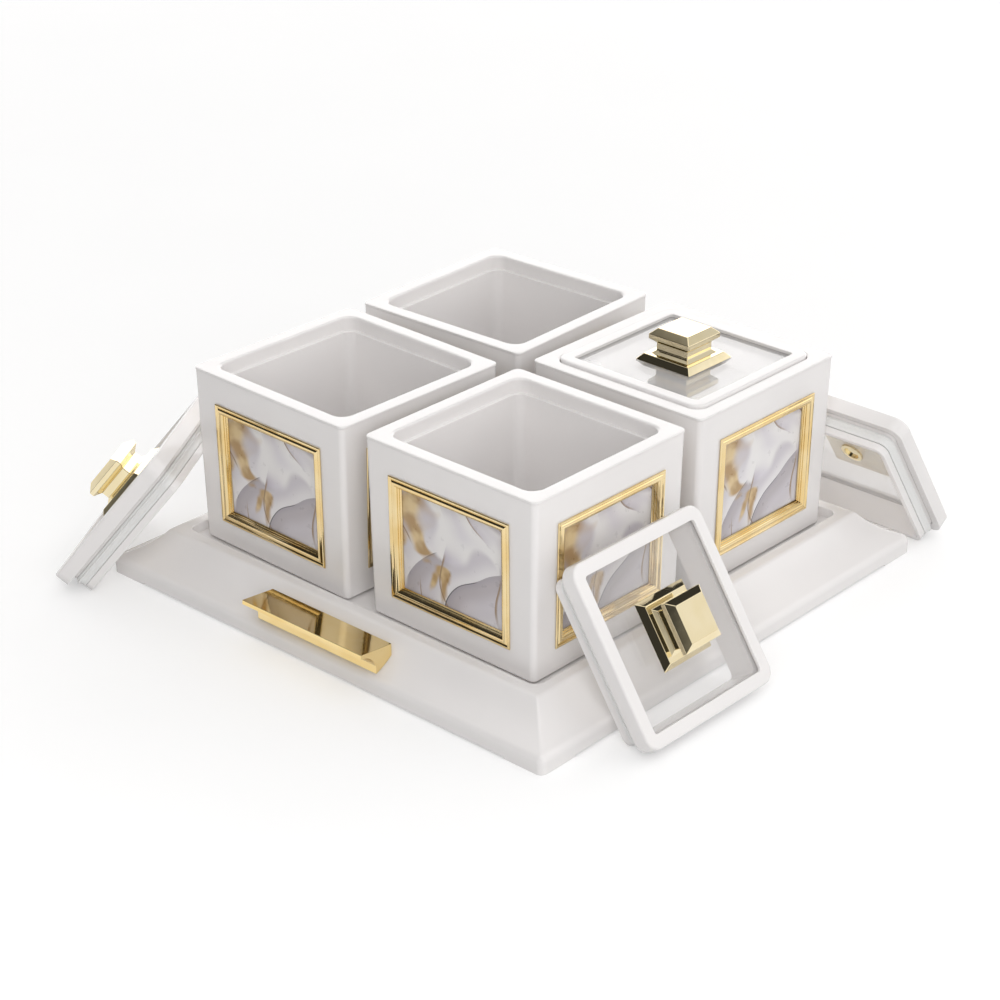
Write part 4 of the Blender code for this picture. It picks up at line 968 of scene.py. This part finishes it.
def plated(name):
    """Metallised plastic: a mirror that waves a little, with a slightly deeper tone in places."""
    colour, deep, smooth, dull = GOLDS[name]
    material, tree, shader, coords = new_material(name, colour, smooth, metallic=1.0)
    tone = mixed(tree, patches(tree, coords, scale=55.0, span=(0.35, 0.7)), colour, deep)
    wear = patches(tree, coords, 420.0, smooth, dull, span=(0.4, 0.8), detail=5.0, roughness=0.6)
    waves = relief(tree, coords, scale=130.0, strength=0.10, distance=0.0002, detail=1.0)
    feed(tree, shader, {"Base Color": tone, "Roughness": wear, "Normal": waves})
    return material


def clear_plastic():
    """The lid's pane: clear at a steep view and more of a mirror at a flat one."""
    tint = (0.95, 0.94, 0.94)
    material, tree, shader, coords = new_material("clear_plastic", tint, roughness=0.02, metallic=0.3)
    slant = add_node(tree, "ShaderNodeLayerWeight", {"Blend": 0.5}).outputs["Facing"]
    glare = mapped(tree, slant, span=(0.2, 0.62), low=0.08, high=0.41)
    haze = patches(tree, coords, scale=30.0, high=0.02)
    wear = patches(tree, coords, scale=300.0, low=0.015, high=0.05, span=(0.4, 0.8))
    feed(tree, shader, {"Alpha": calculated(tree, "ADD", glare, haze), "Roughness": wear})
    return material


def silicone():
    """A milky soft seal."""
    material, tree, shader, coords = new_material("silicone", (0.84, 0.84, 0.83), roughness=0.42)
    milky = {"Subsurface Weight": 0.35, "Subsurface Radius": (0.002, 0.002, 0.002), "Subsurface Scale": 1.0}
    wear = patches(tree, coords, scale=90.0, low=0.36, high=0.5)
    grain = relief(tree, coords, scale=900.0, strength=0.15, distance=0.00005)
    feed(tree, shader, {**milky, "Roughness": wear, "Normal": grain})
    return material


def steel():
    """Plated screw steel with fine turning marks."""
    material, tree, shader, coords = new_material("steel", (0.62, 0.62, 0.63), roughness=0.28, metallic=1.0)
    inputs = {"Vector": coords, "Scale": 900.0, "Distortion": 1.0}
    marks = add_node(tree, "ShaderNodeTexWave", inputs, wave_type="RINGS", rings_direction="Z").outputs["Fac"]
    feed(tree, shader, {"Roughness": mapped(tree, marks, span=(0.0, 1.0), low=0.22, high=0.36)})
    return material


def swirled(tree, coords, scale, reach):
    """Coordinates that a wide noise pushes about."""
    push = noise(tree, coords, scale, detail=0.5, output="Color")
    centred = vector_math(tree, "SUBTRACT", {0: push, 1: (0.5, 0.5, 0.5)})
    return vector_math(tree, "ADD", {0: coords, 1: vector_math(tree, "SCALE", {0: centred, "Scale": reach})})


def folds(tree, coords, turn, scale, phase, distortion):
    """Veils that overlap: a ramp from 0 to 1 across each, with an edge where the next one starts."""
    inputs = {"Vector": coords, "Angle": math.radians(turn)}
    turned = add_node(tree, "ShaderNodeVectorRotate", inputs, rotation_type="Z_AXIS").outputs["Vector"]
    inputs = {"Vector": turned, "Scale": scale, "Distortion": distortion, "Detail": 1.0,
              "Detail Scale": 1.1, "Phase Offset": phase}
    return add_node(tree, "ShaderNodeTexWave", inputs, wave_profile="SAW").outputs["Fac"]


def printed_picture():
    """A print of soft overlapping veils, lilac grey on white, with ochre smears and a few fine dark lines."""
    material, tree, shader, _ = new_material("printed_picture", (0.70, 0.68, 0.72), roughness=0.3)
    uv = add_node(tree, "ShaderNodeUVMap", {}, uv_map="print").outputs["UV"]
    bent = swirled(tree, uv, scale=1.25, reach=1.1)
    wide = folds(tree, bent, turn=35, scale=0.62, phase=2.6, distortion=0.8)
    thin = folds(tree, bent, turn=-28, scale=1.05, phase=0.7, distortion=1.6)
    wide_share = patches(tree, bent, scale=1.3, span=(0.47, 0.52), detail=0.0)
    thin_share = patches(tree, uv, scale=1.9, span=(0.36, 0.54), detail=1.0)
    picture = mixed(tree, thin_share, PRINT_GROUND, ramped(tree, thin, THIN_VEIL))
    picture = mixed(tree, wide_share, picture, ramped(tree, wide, WIDE_VEIL))
    smear = patches(tree, bent, scale=2.1, high=0.9, span=(0.57, 0.64), distortion=0.4)
    core = patches(tree, uv, scale=6.0, span=(0.4, 0.68))
    picture = mixed(tree, smear, picture, mixed(tree, core, *OCHRES))
    in_places = patches(tree, uv, scale=2.1, high=0.9, span=(0.46, 0.55), detail=0.0)
    for veil, share, (span, colour) in ((thin, thin_share, THIN_LINE), (wide, wide_share, WIDE_LINE)):
        edge = mapped(tree, veil, span, low=1.0, high=0.0)
        picture = mixed(tree, calculated(tree, "MULTIPLY", edge, in_places, share), picture, colour)
    gloss = patches(tree, uv, scale=11.0, low=0.27, high=0.34)
    feed(tree, shader, {"Base Color": picture, "Roughness": gloss})
    return material


# Pieces
def add_piece(node, shape, material, matrix=Matrix()):
    """A piece in the place of a CAD node, smooth where its surface bends gently."""
    mesh = placed(shape, matrix)
    piece = add_object(f"{node}_surface", mesh)
    mesh.materials.clear()
    mesh.materials.append(material)
    mesh.shade_smooth()
    mesh.set_sharp_from_angle(angle=SMOOTH_ANGLE)
    normals = piece.modifiers.new("even_normals", "WEIGHTED_NORMAL")
    normals.keep_sharp = True
    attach(piece, frame["nodes"][node]["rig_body"])
    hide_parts(node)
    return piece


def add_tray(white):
    """The tray with a handle and its two screws on the front and on the back."""
    add_piece("tray", make_tray(), white)
    handle, gold = make_handle(), plated("handle_gold")
    screw, screw_steel = make_handle_screw(), steel()
    for side, turn in (("front", 0), ("back", math.pi)):
        matrix = Matrix.Rotation(turn, 4, "Z")
        piece = add_piece(f"handle_{side}", handle, gold, matrix)
        edge = piece.modifiers.new("edge", "BEVEL")
        edge.width = HANDLE_EDGE_ROUND
        edge.segments = EDGE_SEGMENTS
        edge.limit_method = "ANGLE"
        edge.harden_normals = True
        for end, place in (("left", -1), ("right", 1)):
            shift = Matrix.Translation((place * SCREW_REACH, -SCREW_LINE, 0))
            add_piece(f"handle_{side}_screw_{end}", screw, screw_steel, matrix @ shift)


def add_canisters(white):
    """Four canisters that share their meshes."""
    pieces = (
        ("outer_shell", make_shell(), white, "white_plastic"),
        ("inner_tub", make_tub(), white, "white_plastic"),
        ("printed_sleeve", make_sleeve(), printed_picture(), "printed_sleeve"),
    )
    moulding, gold = make_picture_frame(), plated("moulding_gold")
    for place in PLACES:
        matrix = canister_matrix(place)
        for piece, mesh, material, slot in pieces:
            add_piece(f"canister_{place}_{piece}", mesh, material, matrix)
        for side, heading in SIDE_HEADINGS.items():
            node = f"canister_{place}_picture_frame_{side}"
            add_piece(node, moulding, gold, matrix @ side_matrix(heading))


def add_lids(white):
    """Four lids that share their meshes: one seated on its canister and three that lean."""
    pieces = (
        ("frame", make_lid_frame(), white, "white_plastic"),
        ("window", make_window(), clear_plastic(), "clear_plastic"),
        ("plug_ring", make_plug_ring(), white, "white_plastic"),
        ("gasket", make_gasket(), silicone(), "silicone"),
        ("knob", make_knob(), plated("knob_gold"), "pale_gold"),
    )
    for lid in LIDS:
        matrix = lid_matrix(lid)
        for piece, mesh, material, slot in pieces:
            add_piece(f"{lid}_{piece}", mesh, material, matrix)


# Floor. It lifts its brightness for the camera and for mirrors alone, more the farther it is from the object.
FLOOR_HALF = 6.0
FLOOR_THICKNESS = 0.01
FLOOR_COLOUR = 0.75
FLOOR_SPECKLE = 0.004
FLOOR_ROUGHNESS = 0.9
FLOOR_LIFT = 0.32
FAR_FLOOR_LIFT = 0.52
FAR_FLOOR = (0.2, 2.2)

# Strengths of the studio around the object, the heights where one fades into the next, and how near to
# straight behind the object the backdrop brightens
STUDIO_TINT = (1.0, 0.99, 0.985, 1.0)
STUDIO_DARK = 0.04
STUDIO_TOP = 1.02
STUDIO_FILL = 0.95
BACKDROP = 2.4
BACKDROP_FADE = [math.sin(math.radians(elevation)) for elevation in (28, 35)]
CEILING_FADE = [math.sin(math.radians(elevation)) for elevation in (46, 58)]
BEHIND_FADE = (0.5, 0.92)

# The studio's dark side, which draws the dark bevels in the gold
DARK_AZIMUTH = -8
DARK_ELEVATION = 30
DARK_FADE = (0.52, 0.68)

# Lamps: energy in watts, width and distance in metres, azimuth from the front and elevation in degrees
KEY_LAMP = {"energy": 4.2, "size": 1.6, "distance": 1.9, "azimuth": 149, "elevation": 42}
FILL_LAMP = {"energy": 10.5, "size": 1.4, "distance": 1.6, "azimuth": 40, "elevation": 32}


# Stage
def towards(azimuth, elevation):
    """The direction to a place at an azimuth, 0 being in front, and an elevation, both in degrees."""
    around, up = math.radians(azimuth), math.radians(elevation)
    return Vector((math.sin(around) * math.cos(up), -math.cos(around) * math.cos(up), math.sin(up)))


def nearness(tree, direction, target):
    """How near a direction is to another: 1 when they are the same."""
    return vector_math(tree, "DOT_PRODUCT", {0: direction, 1: tuple(target)}, "Value")


def add_floor():
    """A wide pale floor that keeps the object's shadow. Its lift only shows and lights nothing."""
    mesh = block("floor", FLOOR_HALF, FLOOR_HALF, -FLOOR_THICKNESS, 0)
    floor = add_object("floor", mesh)
    material, tree, shader, coords = new_material("floor", (FLOOR_COLOUR,) * 3, FLOOR_ROUGHNESS)
    speckle = patches(tree, coords, 8.0, FLOOR_COLOUR - FLOOR_SPECKLE, FLOOR_COLOUR + FLOOR_SPECKLE)
    path = add_node(tree, "ShaderNodeLightPath", {})
    rays = [path.outputs[f"Is {kind} Ray"] for kind in ("Camera", "Glossy", "Transmission")]
    distance = vector_math(tree, "LENGTH", {0: coords}, "Value")
    lift = mapped(tree, distance, FAR_FLOOR, FLOOR_LIFT, FAR_FLOOR_LIFT, "LINEAR")
    lift = calculated(tree, "MULTIPLY", lift, calculated(tree, "MAXIMUM", *rays))
    glow = {"Emission Color": (1.0, 1.0, 1.0, 1.0), "Emission Strength": lift}
    feed(tree, shader, {"Base Color": speckle, "Specular IOR Level": 0.0, **glow})
    mesh.materials.append(material)


def add_studio():
    """A backdrop, brightest behind the object, a dark side in front of it and a soft light on top."""
    world = bpy.data.worlds.new("studio")
    bpy.context.scene.world = world
    world.use_nodes = True
    tree = world.node_tree
    direction = add_node(tree, "ShaderNodeTexCoord", {}).outputs["Generated"]
    height = add_node(tree, "ShaderNodeSeparateXYZ", {"Vector": direction}).outputs["Z"]
    behind = nearness(tree, direction, towards(CAMERA_AZIMUTH + 180, CAMERA_ELEVATION))
    dark = nearness(tree, direction, towards(DARK_AZIMUTH, DARK_ELEVATION))
    sides = mapped(tree, behind, BEHIND_FADE, STUDIO_FILL, BACKDROP)
    lit = mapped(tree, dark, DARK_FADE, 1.0, 0.0)
    low = calculated(tree, "MULTIPLY", sides, lit, mapped(tree, height, BACKDROP_FADE, 1.0, 0.0))
    ceiling = mapped(tree, height, CEILING_FADE, STUDIO_DARK, STUDIO_TOP)
    level = calculated(tree, "MAXIMUM", low, ceiling)
    plain = add_node(tree, "ShaderNodeLightPath", {}).outputs["Is Camera Ray"]
    shown = add_node(tree, "ShaderNodeMix", {"Factor": plain, "A": level, "B": 1.0}).outputs["Result"]
    feed(tree, tree.nodes["Background"], {"Color": STUDIO_TINT, "Strength": shown})


def add_lamp(name, energy, size, distance, azimuth, elevation):
    """A large soft lamp that looks at the object."""
    light = bpy.data.lights.new(name, "AREA")
    light.shape = "DISK"
    light.size = size
    light.energy = energy
    lamp = add_object(name, light)
    direction = towards(azimuth, elevation)
    lamp.location = direction * distance
    lamp.rotation_euler = direction.to_track_quat("Z", "Y").to_euler()
    return lamp


def add_camera():
    """The camera at the photograph's place and angle."""
    data = bpy.data.cameras.new("camera")
    data.sensor_width = SENSOR_WIDTH
    data.lens = LENS
    camera = add_object("camera", data)
    camera.location = CAMERA_PLACE
    camera.rotation_euler = (math.radians(90 - CAMERA_ELEVATION), 0, math.radians(CAMERA_AZIMUTH))
    bpy.context.scene.camera = camera


def main():
    """Adds the pieces, the stage, the lamps and the camera. The gold doesn't reflect the fill lamp."""
    white = white_plastic()
    add_tray(white)
    add_canisters(white)
    add_lids(white)
    add_floor()
    add_studio()
    add_lamp("key", **KEY_LAMP)
    add_lamp("fill", **FILL_LAMP).visible_glossy = False
    add_camera()
    bpy.context.scene.view_settings.view_transform = "Standard"


main()
